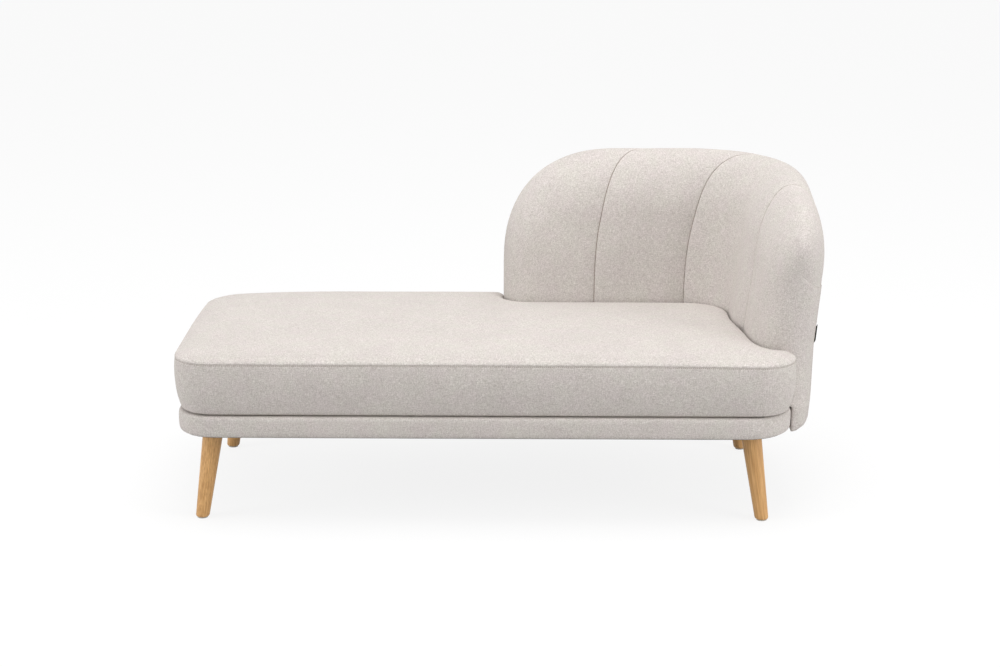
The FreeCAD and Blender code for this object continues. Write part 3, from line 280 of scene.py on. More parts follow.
def run_lengths(points, closed=True):
    """Distance along a line at each of its points, and its whole length."""
    following = np.roll(points, -1, axis=0)
    gaps = np.linalg.norm(following - points, axis=-1)
    if not closed:
        gaps[-1] = 0
    return np.concatenate([[0], np.cumsum(gaps)[:-1]]), float(gaps.sum())


def add_mesh(name, points, faces, places=None, seam=None):
    """A mesh object at the origin. places are each point's own cloth coordinates, and
    seam says how deep each lies in a seam's shade, from 0 to 1."""
    mesh = bpy.data.meshes.new(name)
    mesh.from_pydata([tuple(map(float, point)) for point in points], [], faces)
    if places is not None:
        layer = mesh.uv_layers.new(name="cloth")
        corners = np.empty(len(mesh.loops), dtype=np.int64)
        mesh.loops.foreach_get("vertex_index", corners)
        layer.data.foreach_set("uv", np.asarray(places, float)[corners].ravel())
    if seam is not None:
        shade = mesh.attributes.new("seam", "FLOAT", "POINT")
        shade.data.foreach_set("value", np.asarray(seam, float).ravel())
    mesh.shade_smooth()
    thing = bpy.data.objects.new(name, mesh)
    scene.collection.objects.link(thing)
    return thing


def add_wall(thing, thickness, offset):
    """Give a single sheet its thickness: both ways for offset 0, inwards for -1."""
    wall = thing.modifiers.new("wall", "SOLIDIFY")
    wall.thickness = thickness
    wall.offset = offset


def grid_faces(rows, columns, wrap=False, start=0):
    """Quads of a grid stored row by row. wrap joins the last column to the first."""
    faces = []
    last = columns if wrap else columns - 1
    for row in range(rows - 1):
        for column in range(last):
            beside = (column + 1) % columns
            corner = start + row * columns
            faces.append((corner + column, corner + beside,
                          corner + columns + beside, corner + columns + column))
    return faces


def tidy_mesh(thing, merge=0.00002):
    """Merge doubled points and point the faces outwards."""
    shape = bmesh.new()
    shape.from_mesh(thing.data)
    bmesh.ops.remove_doubles(shape, verts=shape.verts, dist=merge)
    bmesh.ops.dissolve_degenerate(shape, dist=merge / 4, edges=shape.edges)
    bmesh.ops.recalc_face_normals(shape, faces=shape.faces)
    shape.to_mesh(thing.data)
    shape.free()
    thing.data.shade_smooth()


# Seat webbing: elastic straps stapled to the rails both ways and woven through each
# other, with a plain calico cloth stretched over them.
webbing, webbing_shader, field = finish("elastic_webbing", 0.85)
across_strap = field.node("ShaderNodeSeparateXYZ", None, {"Vector": field.place("UV")})
warp = field.math("SINE", across_strap * 2600)
rib = field.place("UV", (900, 180, 1)).grain(1)
feed(webbing_shader, Base_Color=(rib + warp * 0.12).tint((0.018, 0.017, 0.016),
                                                         (0.085, 0.078, 0.070), 0.3, 0.75),
     Normal=(rib + warp * 0.4).relief(0.0004, 0.6))
STRAP_HALF = 0.030
STRAP_WALL = 0.0012
WEAVE_HEIGHT = 0.0011
STAPLED_END = 0.004
STRAPS_ACROSS = 8
STRAPS_ALONG = 3
across_low, across_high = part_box("webbing_across")
along_low, along_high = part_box("webbing_along")
STRAP_PITCH = ((across_high.x - across_low.x - 2 * STRAP_HALF) / (STRAPS_ACROSS - 1),
               (along_high.y - along_low.y - 2 * STRAP_HALF) / (STRAPS_ALONG - 1))
STRAP_START = (across_low.x + STRAP_HALF, along_low.y + STRAP_HALF)


def add_straps(name, node, count, along, rows):
    """Straps along an axis that pass over and under those of the other direction."""
    low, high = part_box(node)
    aside = 1 - along
    level = (low.z + high.z) / 2
    near, far = low[along] + STAPLED_END, high[along] - STAPLED_END
    points, places, faces = [], [], []
    for strap in range(count):
        middle = low[aside] + STRAP_HALF + STRAP_PITCH[aside] * strap
        start = len(points)
        weave = WEAVE_HEIGHT * (1 if strap % 2 else -1) * (-1 if along else 1)
        for row in range(rows):
            run = near + (far - near) * row / (rows - 1)
            phase = (run - STRAP_START[along]) / STRAP_PITCH[along] * math.pi
            lift = weave * math.cos(phase)
            for side, top in ((-1, 0), (1, 0), (1, 1), (-1, 1)):
                point = [0, 0, level + lift + STRAP_WALL * (top - 0.5)]
                point[along] = run
                point[aside] = middle + side * STRAP_HALF
                points.append(point)
                places.append((side * STRAP_HALF, run))
        faces += grid_faces(rows, 4, wrap=True, start=start)
        last = start + (rows - 1) * 4
        faces.append((start, start + 3, start + 2, start + 1))
        faces.append((last, last + 1, last + 2, last + 3))
    straps = add_mesh(name, points, faces, places)
    straps.data.materials.append(webbing)
    tidy_mesh(straps)
    straps.data.shade_flat()
    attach(straps, "root")
    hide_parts(node)


add_straps("seat_webbing_across", "webbing_across", STRAPS_ACROSS, 1, 72)
add_straps("seat_webbing_along", "webbing_along", STRAPS_ALONG, 0, 160)


def places_inside(outline, start, step, margin):
    """Grid places inside an outline, no nearer its edge than a margin."""
    low, high = outline.min(0) + start, outline.max(0)
    return [(x, y) for x in np.arange(low[0], high[0], step)
            for y in np.arange(low[1], high[1], step)
            if edge_distance(outline, x, y) > margin]


CLOTH_STEP = 0.02
HOLE_POINTS = 28


def add_flat_cloth(name, outline, level, sag, thickness, holes=()):
    """A cloth stretched flat over an outline, sagging a little between its edges."""
    points = [tuple(point) for point in outline]
    edges = [(index, (index + 1) % len(points)) for index in range(len(points))]
    for centre, radius in holes:
        start = len(points)
        for index in range(HOLE_POINTS):
            swing = 2 * math.pi * index / HOLE_POINTS
            points.append((centre[0] + math.cos(swing) * radius,
                           centre[1] + math.sin(swing) * radius))
            edges.append((start + index, start + (index + 1) % HOLE_POINTS))
    margin = CLOTH_STEP * 0.4
    points += [place for place in places_inside(outline, CLOTH_STEP, CLOTH_STEP, margin)
               if all(math.dist(place, centre) >= radius + margin for centre, radius in holes)]
    flat, _, faces, _, _, _ = delaunay_2d_cdt(
        [Vector(point) for point in points], edges, [], 1, 1e-6)
    faces = [face for face in faces if all(
        math.dist(sum((flat[index] for index in face), Vector((0, 0))) / 3, centre) > radius
        for centre, radius in holes)]
    low, high = outline.min(0), outline.max(0)
    middle, half = (low + high) / 2, (high - low) / 2
    cloth = []
    for x, y in flat:
        share = 1 - max(abs(x - middle[0]) / half[0], abs(y - middle[1]) / half[1])
        ripple = noise.noise(Vector((x * 9, y * 9, 3.1))) * sag * 0.5
        dip = sag * min(1.0, share * 3) + ripple * min(1.0, share * 6)
        cloth.append((x, y, level - dip))
    thing = add_mesh(name, cloth, [tuple(face) for face in faces], [p[:2] for p in cloth])
    add_wall(thing, thickness, 0)
    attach(thing, "root")
    return thing


def edge_distance(outline, x, y):
    """Distance inside an outline, negative outside."""
    place = np.array([x, y])
    following = np.roll(outline, -1, axis=0)
    run = following - outline
    share = ((place - outline) * run).sum(1) / np.maximum((run ** 2).sum(1), 1e-12)
    nearest = outline + run * np.clip(share, 0, 1)[:, None]
    gap = np.linalg.norm(place - nearest, axis=1).min()
    crossing = (outline[:, 1] > y) != (following[:, 1] > y)
    slope = run[:, 0] / np.where(abs(run[:, 1]) < 1e-12, 1e-12, run[:, 1])
    beyond = crossing & (x < outline[:, 0] + (y - outline[:, 1]) * slope)
    return gap if beyond.sum() % 2 else -gap


calico, calico_shader, field = finish("calico", 0.9)
thread_x = field.place("UV", (2400, 300, 1)).grain(1)
thread_y = field.place("UV", (300, 2400, 1)).grain(1)
feed(calico_shader, Base_Color=(thread_x * 0.5 + thread_y * 0.5).tint(
    (0.55, 0.51, 0.44), (0.76, 0.73, 0.66), 0.35, 0.65),
    Normal=(thread_x + thread_y).relief(0.0003, 0.5))
CLOTH_WALL = 0.0006
deck_low, deck_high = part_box("deck_cloth")
deck_outline, _ = base_outline(deck_low.x - LEFT, CLOTH_STEP)
deck = add_flat_cloth("deck_calico", deck_outline, deck_high.z - 0.0002, 0.0005, CLOTH_WALL)
deck.data.materials.append(calico)
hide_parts("deck_cloth")

# Dust cover: black spun cloth under the frame, its edge folded under and stapled every
# few centimetres, cut out round the four leg plates.
spun, spun_shader, field = finish("black_spun_cloth", 0.95)
fibres = field.place("Object", (1, 1, 4)).grain(700, 4, 0.7)
blot = field.place("Object").grain(60, 3)
feed(spun_shader, Base_Color=(fibres * 0.7 + blot * 0.3).tint((0.006, 0.006, 0.007),
                                                             (0.035, 0.034, 0.033), 0.3, 0.72),
     Normal=fibres.relief(0.0004, 0.7))
PLATE_ROOM = 0.0365
LEG_HEAD = 0.0245
dust_low, dust_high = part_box("dust_cover")
dust_outline, dust_outwards = base_outline(dust_low.x - LEFT, CLOTH_STEP)
plate_holes = []
for corner in CORNERS:
    leg_low, leg_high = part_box(f"leg_{corner}")
    head_x = leg_high.x - LEG_HEAD if corner.endswith("left") else leg_low.x + LEG_HEAD
    head_y = leg_high.y - LEG_HEAD if corner.startswith("front") else leg_low.y + LEG_HEAD
    plate_holes.append(((head_x, head_y), PLATE_ROOM))
dust = add_flat_cloth("dust_cloth", dust_outline, dust_high.z - 0.0004, 0.0015, CLOTH_WALL,
                      plate_holes)
dust.data.materials.append(spun)
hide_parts("dust_cover")


def repeat_along(name, lines, material, pitch, size):
    """Small rounded bars at an even pitch along lines of (points, face normals). size is
    each bar's width, thickness and length, in metres."""
    tree = bpy.data.node_groups.new(name + "_tree", "GeometryNodeTree")
    for way in ("INPUT", "OUTPUT"):
        tree.interface.new_socket("Geometry", in_out=way, socket_type="NodeSocketGeometry")
    source = tree.nodes.new("NodeGroupInput")
    result = tree.nodes.new("NodeGroupOutput")

    def add(kind, settings, inputs):
        """A node, set first and then linked; gives its first output."""
        made = tree.nodes.new(kind)
        for setting, value in settings.items():
            setattr(made, setting, value)
        for socket, value in inputs.items():
            if isinstance(value, bpy.types.NodeSocket):
                tree.links.new(value, made.inputs[socket])
            else:
                made.inputs[socket].default_value = value
        return made.outputs[0]

    bar = add("GeometryNodeMeshUVSphere", {}, {"Segments": 8, "Rings": 6, "Radius": 0.5})
    bar = add("GeometryNodeTransform", {}, {"Geometry": bar, "Scale": size})
    course = add("GeometryNodeMeshToCurve", {}, {"Mesh": source.outputs[0]})
    course = add("GeometryNodeResampleCurve", {"mode": "LENGTH"}, {
        "Curve": course, "Length": pitch})
    facing = add("GeometryNodeInputNamedAttribute", {"data_type": "FLOAT_VECTOR"},
                 {"Name": "facing"})
    turn = add("FunctionNodeAlignRotationToVector", {"axis": "Z"}, {
        "Vector": add("GeometryNodeInputTangent", {}, {})})
    turn = add("FunctionNodeAlignRotationToVector", {"axis": "Y", "pivot_axis": "Z"}, {
        "Rotation": turn, "Vector": facing})
    bars = add("GeometryNodeInstanceOnPoints", {}, {
        "Points": course, "Instance": bar, "Rotation": turn})
    bars = add("GeometryNodeRealizeInstances", {}, {"Geometry": bars})
    bars = add("GeometryNodeSetMaterial", {}, {"Geometry": bars, "Material": material})
    tree.links.new(bars, result.inputs[0])

    points, edges, facings = [], [], []
    for line, normals in lines:
        start = len(points)
        points += [tuple(map(float, point)) for point in line]
        facings += [float(part) for normal in normals for part in normal]
        edges += [(start + index, start + index + 1) for index in range(len(line) - 1)]
    path = bpy.data.meshes.new(name + "_path")
    path.from_pydata(points, edges, [])
    attribute = path.attributes.new("facing", "FLOAT_VECTOR", "POINT")
    attribute.data.foreach_set("vector", facings)
    holder = bpy.data.objects.new(name + "_holder", path)
    scene.collection.objects.link(holder)
    holder.modifiers.new("repeat", "NODES").node_group = tree
    bpy.context.view_layer.update()
    graph = bpy.context.evaluated_depsgraph_get()
    mesh = bpy.data.meshes.new_from_object(holder.evaluated_get(graph), depsgraph=graph)
    bpy.data.objects.remove(holder)
    mesh.name = name
    thing = bpy.data.objects.new(name, mesh)
    scene.collection.objects.link(thing)
    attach(thing, "root")
    return thing


# Staples: the wire crowns that hold the dust cover, in one row just inside its folded
# edge, lying along it.
wire, wire_shader, field = finish("staple_wire", 0.35, Metallic=1.0)
dulled = field.place("Object").grain(500)
feed(wire_shader, Base_Color=dulled.tint((0.45, 0.45, 0.46), (0.68, 0.68, 0.70)))
staple_line = dust_outline - dust_outwards * 0.006
staple_level = dust_high.z - 0.0012
staple_points = [(x, y, staple_level) for x, y in [*staple_line, staple_line[0]]]
staples = repeat_along(
    "dust_cover_staples", [(staple_points, [(0, 0, -1)] * len(staple_points))], wire,
    0.045, (0.0013, 0.0011, 0.0105))

# Base band: the upholstery fabric over thin wadding, pulled round the rails and turned
# in above and below, where it is stapled out of sight. The fabric is a soft matt weave of
# cream, rose-grey and straw yarns, with painted shade where a mesh's "seam" attribute marks a
# seam's crease.
YARN = 0.0016
fabric, fabric_shader, field = finish(
    "heathered_upholstery", 0.92, Sheen_Weight=0.18, Sheen_Roughness=0.5,
    Specular_IOR_Level=0.25, Sheen_Tint=(0.95, 0.90, 0.86, 1))
parts = field.node("ShaderNodeSeparateXYZ", None, {"Vector": field.place("UV")})
run, rise = (Field(parts.tree, parts.socket.node.outputs[index]) for index in range(2))
warp = field.math("SINE", run * (math.pi / YARN))
weft = field.math("SINE", rise * (math.pi / YARN))
over = field.node("ShaderNodeClamp", None, {"Value": (warp * weft) * 2.2 + 0.5})
under = 1 - over
weave = over * field.math("ABSOLUTE", warp) + under * field.math("ABSOLUTE", weft)
slub = (over * field.place("UV", (70, 620, 1)).grain(1, 3, 0.6)
        + under * field.place("UV", (620, 70, 1)).grain(1, 3, 0.6))
speck = field.place("Object").grain(360, 3, 0.75)
patch = field.place("Object").grain(26, 3, 0.55)
drift = field.place("Object", (1, 1, 1), (0.4, 0.2, 0.7)).grain(11, 2, 0.5)
colour = slub.tint((0.503, 0.469, 0.445), (0.712, 0.685, 0.665), 0.34, 0.66)
for tint, share in (
        (speck.tint((0.62, 0.585, 0.565), (1.20, 1.20, 1.20), 0.30, 0.66), 0.75),
        (patch.tint((1.0, 0.968, 0.970), (0.985, 0.99, 0.955), 0.36, 0.64), 0.8),
        (drift.tint((0.97, 0.965, 0.965), (1.02, 1.02, 1.015), 0.35, 0.65), 0.8)):
    colour = tint.over(colour, share)
# Painted shade: the "seam" attribute multiplies a dark brown into the colour, in place of the
# shade in a seam's crease.
seam = field.node("ShaderNodeAttribute", {"attribute_name": "seam"}, output=2)
painted_crease_shade = field.node("ShaderNodeRGB")
painted_crease_shade.socket.default_value = (0.50, 0.42, 0.37, 1)
feed(fabric_shader, Base_Color=painted_crease_shade.over(colour, seam),
     Roughness=slub * 0.12 + 0.84,
     Normal=(weave * 0.55 + slub * 0.5 + speck * 0.3).relief(0.0006, 0.55))
FABRIC_WALL = 0.0030


def smooth_profile(knots, steps):
    """A curve through profile knots, as a Catmull-Rom spline."""
    knots = [np.array(knot, float) for knot in knots]
    padded_knots = [2 * knots[0] - knots[1], *knots, 2 * knots[-1] - knots[-2]]
    curve = []
    for index in range(1, len(padded_knots) - 2):
        before, start, end, after = padded_knots[index - 1:index + 3]
        for step in range(steps):
            share = step / steps
            curve.append(0.5 * (2 * start + (end - before) * share
                                + (2 * before - 5 * start + 4 * end - after) * share ** 2
                                + (3 * start - before - 3 * end + after) * share ** 3))
    curve.append(knots[-1])
    return np.array(curve)


def wander(x, y, z, pitch, seed):
    """Gentle unevenness of hand-pulled cloth, from -1 to 1."""
    return noise.noise(Vector((x / pitch + seed, y / pitch, z / pitch)))


band_points, band_outwards = base_outline(0.0, 0.008)
band_runs, band_length = run_lengths(band_points)
BAND_ROUND = 0.0085
BAND_TURN = 0.0300
rise = BASE_TOP - BASE_BOTTOM
BAND_KNOTS = [(-BAND_TURN, 0.0005), (-BAND_ROUND, 0.0), (-BAND_ROUND * 0.3, 0.0022),
              (-0.0002, BAND_ROUND), (0.0004, rise * 0.35), (0.0005, rise * 0.6),
              (-0.0001, rise - BAND_ROUND), (-BAND_ROUND * 0.3, rise - 0.0026),
              (-BAND_ROUND, rise - 0.0002), (-BAND_TURN, rise - 0.0004)]
inner_profile = [(-BAND_TURN, rise - FABRIC_WALL), (-BAND_ROUND, rise - FABRIC_WALL),
                 (-FABRIC_WALL, rise - BAND_ROUND), (-FABRIC_WALL, BAND_ROUND),
                 (-BAND_ROUND, FABRIC_WALL), (-BAND_TURN, FABRIC_WALL)]
band_ring = np.vstack([smooth_profile(BAND_KNOTS, 4), inner_profile])
points, places = [], []
profile_runs, _ = run_lengths(band_ring)
for (reach, height), across in zip(band_ring, profile_runs):
    for (x, y), (out_x, out_y), run in zip(band_points, band_outwards, band_runs):
        pull = 0.0005 * wander(x, y, height, 0.05, 11) + 0.0004 * wander(x, y, 0, 0.25, 5)
        if reach <= -BAND_TURN * 0.8:
            pull = 0
        points.append((x + out_x * (reach + pull), y + out_y * (reach + pull),
                       BASE_BOTTOM + height))
        places.append((run, across))
ring_count = len(band_points)
faces = grid_faces(len(band_ring), ring_count, wrap=True)
last_row = (len(band_ring) - 1) * ring_count
for column in range(ring_count):
    beside = (column + 1) % ring_count
    faces.append((last_row + column, last_row + beside, beside, column))
base_band = add_mesh("base_band", points, faces, places)
base_band.data.materials.append(fabric)
tidy_mesh(base_band)
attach(base_band, "root")
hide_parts("base_cover")
rise + 2 * BAND_TURN

# Seat cushion: one block of foam in a box cover. The border swells between a top seam
# and a turned-in lower edge, and the top is crowned. It is cut away behind and on the
# right, where the backrest stands.
CUSHION_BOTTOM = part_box("seat_cover_bottom")[0].z
BACK_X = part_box("back_cover_channel_1")[0].x
CUSHION_CORNER = 0.086
INNER_FACE = 0.115
NOTCH_GAP = 0.002
TOE = 0.014
LEFT_END_ROUND = 0.066
WING_END_ROUND = 0.131
WING_SETBACK = 0.100
WING_Y = FRONT + WING_SETBACK
CORNER_MIDDLE = np.array([RIGHT - CORNER_BACK, REAR - CORNER_BACK])
CORNER_RUN = CORNER_BACK * math.pi / 2
REAR_RUN = CORNER_MIDDLE[0] - BACK_X
END_RUN = CORNER_MIDDLE[1] - WING_Y
BACK_RUN = REAR_RUN + CORNER_RUN + END_RUN
WING_FLARE = 0.027
FLARE_START, FLARE_RUN = 0.83, 0.22


def flare(along):
    """How much thinner the wing grows on its inner side, towards its front."""
    share = np.clip((along - FLARE_START) / FLARE_RUN, 0, 1)
    return WING_FLARE * share ** 2 * (3 - 2 * share)


def cushion_outline(step):
    """The cushion's plan as a closed line, with directions and how free each place is.

    Free places follow the base and swell; the others stand against the backrest."""
    clear = INNER_FACE + NOTCH_GAP
    rear_line, right_line, left_line = REAR - clear, RIGHT - clear, BACK_X - NOTCH_GAP
    end_curve = LEFT_END_ROUND + 0.004
    tip_x, tip_y = RIGHT - 0.0275, WING_Y - 0.003
    radius = CUSHION_CORNER
    stretches = [
        (arc((LEFT + radius, REAR - radius), radius, 90, 180, 18), 1, 1),
        (arc((LEFT + radius, FRONT + radius), radius, 180, 270, 18), 1, 1),
        (arc((RIGHT - radius, FRONT + radius), radius, 270, 360, 18), 1, 1),
        (arc((RIGHT - TOE, FRONT + radius + 0.002), TOE, 0, 80, 6), 1, 1),
        (arc((tip_x, tip_y + WING_END_ROUND), (tip_x - right_line, WING_END_ROUND),
             270, 180, 14), -1, 0),
        (arc(CORNER_MIDDLE, CORNER_BACK - clear, 0, 90, 16), 1, 0),
        (arc((left_line + end_curve, rear_line + end_curve), end_curve, 270, 180, 10), -1, 0),
        (arc((left_line - TOE, REAR - TOE), TOE, 0, 90, 6), 1, 1)]
    corners, turned, free = [], [], []
    for (points, outward), side, freedom in stretches:
        corners += list(points)
        turned += list(outward * side)
        free += [freedom] * len(points)
    line, directions, freedom = [], [], []
    for index, share, place in filled_in(corners, step):
        following = (index + 1) % len(corners)
        if right_line - 0.001 < place[0] < tip_x and tip_y - 0.001 < place[1] < 0.1:
            away = CORNER_MIDDLE[1] - place[1] + REAR_RUN + CORNER_RUN
            place[0] += float(flare(away)) * (tip_x - place[0]) / (tip_x - right_line)
        line.append(place)
        mixed = turned[index] + (turned[following] - turned[index]) * share
        directions.append(mixed / max(np.linalg.norm(mixed), 1e-9))
        freedom.append(free[index] + (free[following] - free[index]) * share)
    ring = freedom[-3:] + freedom + freedom[:3]
    return np.array(line), np.array(directions), np.convolve(ring, np.ones(7) / 7, "valid")


CROWN_KNOTS = [(-0.0042, 0.391), (0.001, 0.3965), (0.009, 0.4015), (0.024, 0.4060),
               (0.060, 0.4110), (0.130, 0.4155), (0.210, 0.4185), (0.5, 0.4190)]
CROWN_DEPTHS, CROWN_HEIGHTS = np.array(CROWN_KNOTS).T
SEAT_OUTLINE, _, _ = cushion_outline(0.02)
AGAINST_DEPTH = 0.005
REAR_SLOPE = 0.0070
SLOPE_START, SLOPE_RUN = -0.05, 0.34
CORNER_DROP, CORNER_REACH = 0.0085, 0.15
FRONT_DROOP = 0.0045
DROOP_HEIGHT = 0.14
DROOP_START, DROOP_RUN = 0.30, 0.35


def box_depth(x, y):
    """Distance inside the cushion's whole rounded rectangle."""
    past = np.abs([x - (RIGHT + LEFT) / 2, y - (REAR + FRONT) / 2])
    past -= np.array([RIGHT - LEFT, REAR - FRONT]) / 2 - CUSHION_CORNER
    outside = math.hypot(max(past[0], 0), max(past[1], 0))
    return CUSHION_CORNER - outside - min(max(past[0], past[1]), 0)


def slope(x, y):
    """How much lower the cushion lies towards its rear, most at the rear left corner."""
    rearward = min(1.0, max(0.0, (y - SLOPE_START) / SLOPE_RUN))
    cornered = math.exp(-((x - LEFT) ** 2 + (y - REAR) ** 2) / CORNER_REACH ** 2)
    return REAR_SLOPE * rearward + CORNER_DROP * cornered


def droop(x, y):
    """Share of its height that the front's border loses, more towards the right."""
    share = max(0.0, min(1.0, (x - DROOP_START) / DROOP_RUN)) if y < 0 else 0
    return FRONT_DROOP / DROOP_HEIGHT * share


def crown(x, y):
    """Height of the seat's top at a place: highest in the middle, lower at every edge."""
    depth = min(box_depth(x, y), edge_distance(SEAT_OUTLINE, x, y) + AGAINST_DEPTH)
    return float(np.interp(depth, CROWN_DEPTHS, CROWN_HEIGHTS)) - slope(x, y)


BORDER_KNOTS = [
    (-0.0300, 0.0000), (-0.0130, 0.0000), (-0.0092, 0.0016), (-0.0070, 0.0050),
    (-0.0030, 0.0160), (0.0030, 0.0420), (0.0060, 0.0720), (0.0062, 0.0900),
    (0.0052, 0.1080), (0.0040, 0.1165), (0.0033, 0.1198), (0.0030, 0.1212),
    (0.0036, 0.1220), (0.0038, 0.1230), (0.0033, 0.1244), (0.0022, 0.1262),
    (-0.0002, 0.1285), (-0.0040, 0.1308), (-0.0092, 0.1334), (-0.0130, 0.1348)]
BORDER_TOP = BORDER_KNOTS[-1][1]
SEAM_LEVEL = 0.1212
SWELL_TOP = 0.1236
GATHER_LEVEL = 0.114
TURNED_IN = 0.01
TOP_START = 0.1262
TOP_RISE = BORDER_TOP - TOP_START
TOP_FADE = 0.10
SEAT_PITCH = 0.0085
UNDER_PITCH = 0.03
ROLL_OVER = 0.010


def build_cushion(name, knots, steps, step, inset, lively):
    """The cushion as one closed form. inset makes the foam inside the cover."""
    line, directions, freedom = cushion_outline(step)
    runs, whole = run_lengths(line)
    profile = smooth_profile(knots, steps)
    profile_runs, _ = run_lengths(profile, closed=False)
    points, places, seam = [], [], []
    for (reach, height), across in zip(profile, profile_runs):
        over = min(1.0, max(0.0, (height - TOP_START) / TOP_RISE))
        wall = -max(0.0, -reach - 0.004) if height < TURNED_IN else 0.0
        if over > 0:
            wall = -over * ROLL_OVER
        for (x, y), (out_x, out_y), free, run in zip(line, directions, freedom, runs):
            outward = reach * free + wall * (1 - free) - inset
            rise = height
            if lively:
                swell = math.sin(math.pi * min(1, max(0, height / SWELL_TOP))) * free
                outward += swell * (0.0011 * wander(run, 0, height, 0.19, 3)
                                    + 0.0005 * wander(run, 0, height * 2, 0.05, 9))
                near_seam = math.exp(-abs(height - GATHER_LEVEL) / 0.010)
                outward += free * near_seam * 0.0007 * wander(run, 0, 0, 0.016, 21)
                rise -= droop(x, y) * height * free
                rise += 0.0009 * wander(run, 0, 0, 0.09, 31) * swell
            place_x, place_y = x + out_x * outward, y + out_y * outward
            rise -= slope(place_x, place_y) * height / profile[-1][1]
            level = CUSHION_BOTTOM + rise
            if over > 0:
                edge = math.sqrt(1 - (1 - over) ** 2)
                against = crown(place_x, place_y) - ROLL_OVER * (1 - edge)
                level = level * free + against * (1 - free)
            elif height > 2 * TURNED_IN:
                tall = crown(place_x, place_y) - ROLL_OVER - CUSHION_BOTTOM
                against = CUSHION_BOTTOM + height / TOP_START * tall
                level = level * free + against * (1 - free)
            points.append((place_x, place_y, level - inset * min(1.0, height / 0.1)))
            places.append((run, across))
            # Painted shade: a thin darker band along the top seam's crease, on the free border
            # only.
            seam.append(0.16 * free * max(0.0, 1 - abs(height - SEAM_LEVEL) / 0.0011))
    count = len(line)
    faces = grid_faces(len(profile), count, wrap=True)
    edges = [(index, (index + 1) % count) for index in range(count)]
    for first, pitch in ((0, UNDER_PITCH), ((len(profile) - 1) * count, SEAT_PITCH)):
        ring = np.array(points[first:first + count])[:, :2]
        inner = places_inside(ring, SEAT_PITCH, pitch, SEAT_PITCH * 0.45)
        flat, _, sheet_faces, originals, _, _ = delaunay_2d_cdt(
            [Vector(point) for point in [*ring, *inner]], edges, [], 1, 1e-7)
        lookup = []
        for (x, y), sources in zip(flat, originals):
            ring_source = [source for source in sources if source < count]
            if ring_source:
                lookup.append(first + ring_source[0])
                continue
            level = crown(x, y) - inset if first else CUSHION_BOTTOM + inset
            if first and lively:
                level += 0.0010 * wander(x, y, 0, 0.22, 41)
                fade = max(0.0, 1 - box_depth(x, y) / TOP_FADE)
                level -= droop(x, y) * DROOP_HEIGHT * fade
            lookup.append(len(points))
            points.append((x, y, level))
            places.append((x, y + whole))
            seam.append(0.0)
        turn = 1 if first else -1
        faces += [tuple(lookup[index] for index in face)[::turn] for face in sheet_faces]
    thing = add_mesh(name, points, faces, places, seam)
    tidy_mesh(thing)
    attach(thing, "root")
    return thing, line, directions, freedom


cushion, *seat_edge = build_cushion("seat_cushion", BORDER_KNOTS, 3, 0.006, 0.0, True)
cushion.data.materials.append(fabric)
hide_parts("seat_cover_border", "seat_cover_top", "seat_cover_bottom")

# Seat foam: a cut block inside the cushion's cover, a little smaller than it all round,
# pale yellow with fine open cells.
foam, foam_shader, field = finish("cut_foam", 0.95)
cells = field.node("ShaderNodeTexVoronoi", None, {
    "Vector": field.place("Object"), "Scale": 900.0})
skin_tone = field.place("Object").grain(30, 3)
feed(foam_shader, Base_Color=(cells * 0.7 + skin_tone * 0.4).tint(
    (0.70, 0.63, 0.44), (0.86, 0.81, 0.64), 0.2, 0.8),
     Normal=cells.relief(0.0005, 0.6))
FOAM_INSET = 0.0080
FOAM_KNOTS = [(-0.030, 0.002), (-0.010, 0.002), (-0.003, 0.016), (0.003, 0.042),
              (0.006, 0.080), (0.0045, 0.108), (0.0012, 0.119), (-0.002, 0.1262),
              (-0.009, 0.1325), (-0.013, 0.1348)]
seat_foam, *_ = build_cushion("seat_foam_block", FOAM_KNOTS, 1, 0.02, FOAM_INSET, False)
seat_foam.data.materials.append(foam)
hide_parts("seat_foam")

# Topstitch: one row of tan thread just under the seam, through the lapped edge. It is
# laid on the border by rays and breaks where the cushion stands against the backrest.
thread, thread_shader, field = finish("tan_thread", 0.7)
twist = field.place("Object", (1, 1, 1), (0.6, 0.3, 0.2)).grain(1500)
feed(thread_shader, Base_Color=twist.tint((0.16, 0.115, 0.085), (0.30, 0.235, 0.185)),
     Normal=twist.relief(0.0002, 0.5))
STITCH_PITCH = 0.0045
STITCH_SIZE = (0.0012, 0.0010, 0.0026)
TOPSTITCH_HEIGHT = 0.1190
cushion_tree = BVHTree.FromObject(cushion, bpy.context.evaluated_depsgraph_get())
stretches = [[]]
for (x, y), (out_x, out_y), free in zip(*seat_edge):
    if free < 0.98:
        continue
    lower = droop(x, y) + slope(x, y) / BORDER_TOP
    level = CUSHION_BOTTOM + TOPSTITCH_HEIGHT * (1 - lower)
    place, outward = Vector((x, y, level)), Vector((out_x, out_y, 0))
    if stretches[-1] and (place - stretches[-1][-1][0]).length > 0.05:
        stretches.append([])
    stretches[-1].append((place, outward))
stitch_lines = []
for stretch in stretches:
    hits = [cushion_tree.ray_cast(place + outward * 0.02, -outward, 0.045)
            for place, outward in stretch]
    hits = [(tuple(hit), tuple(normal)) for hit, normal, _, _ in hits if hit is not None]
    if len(hits) > 2:
        stitch_lines.append(tuple(zip(*hits)))
topstitch = repeat_along("seat_topstitch", stitch_lines, thread, STITCH_PITCH, STITCH_SIZE)

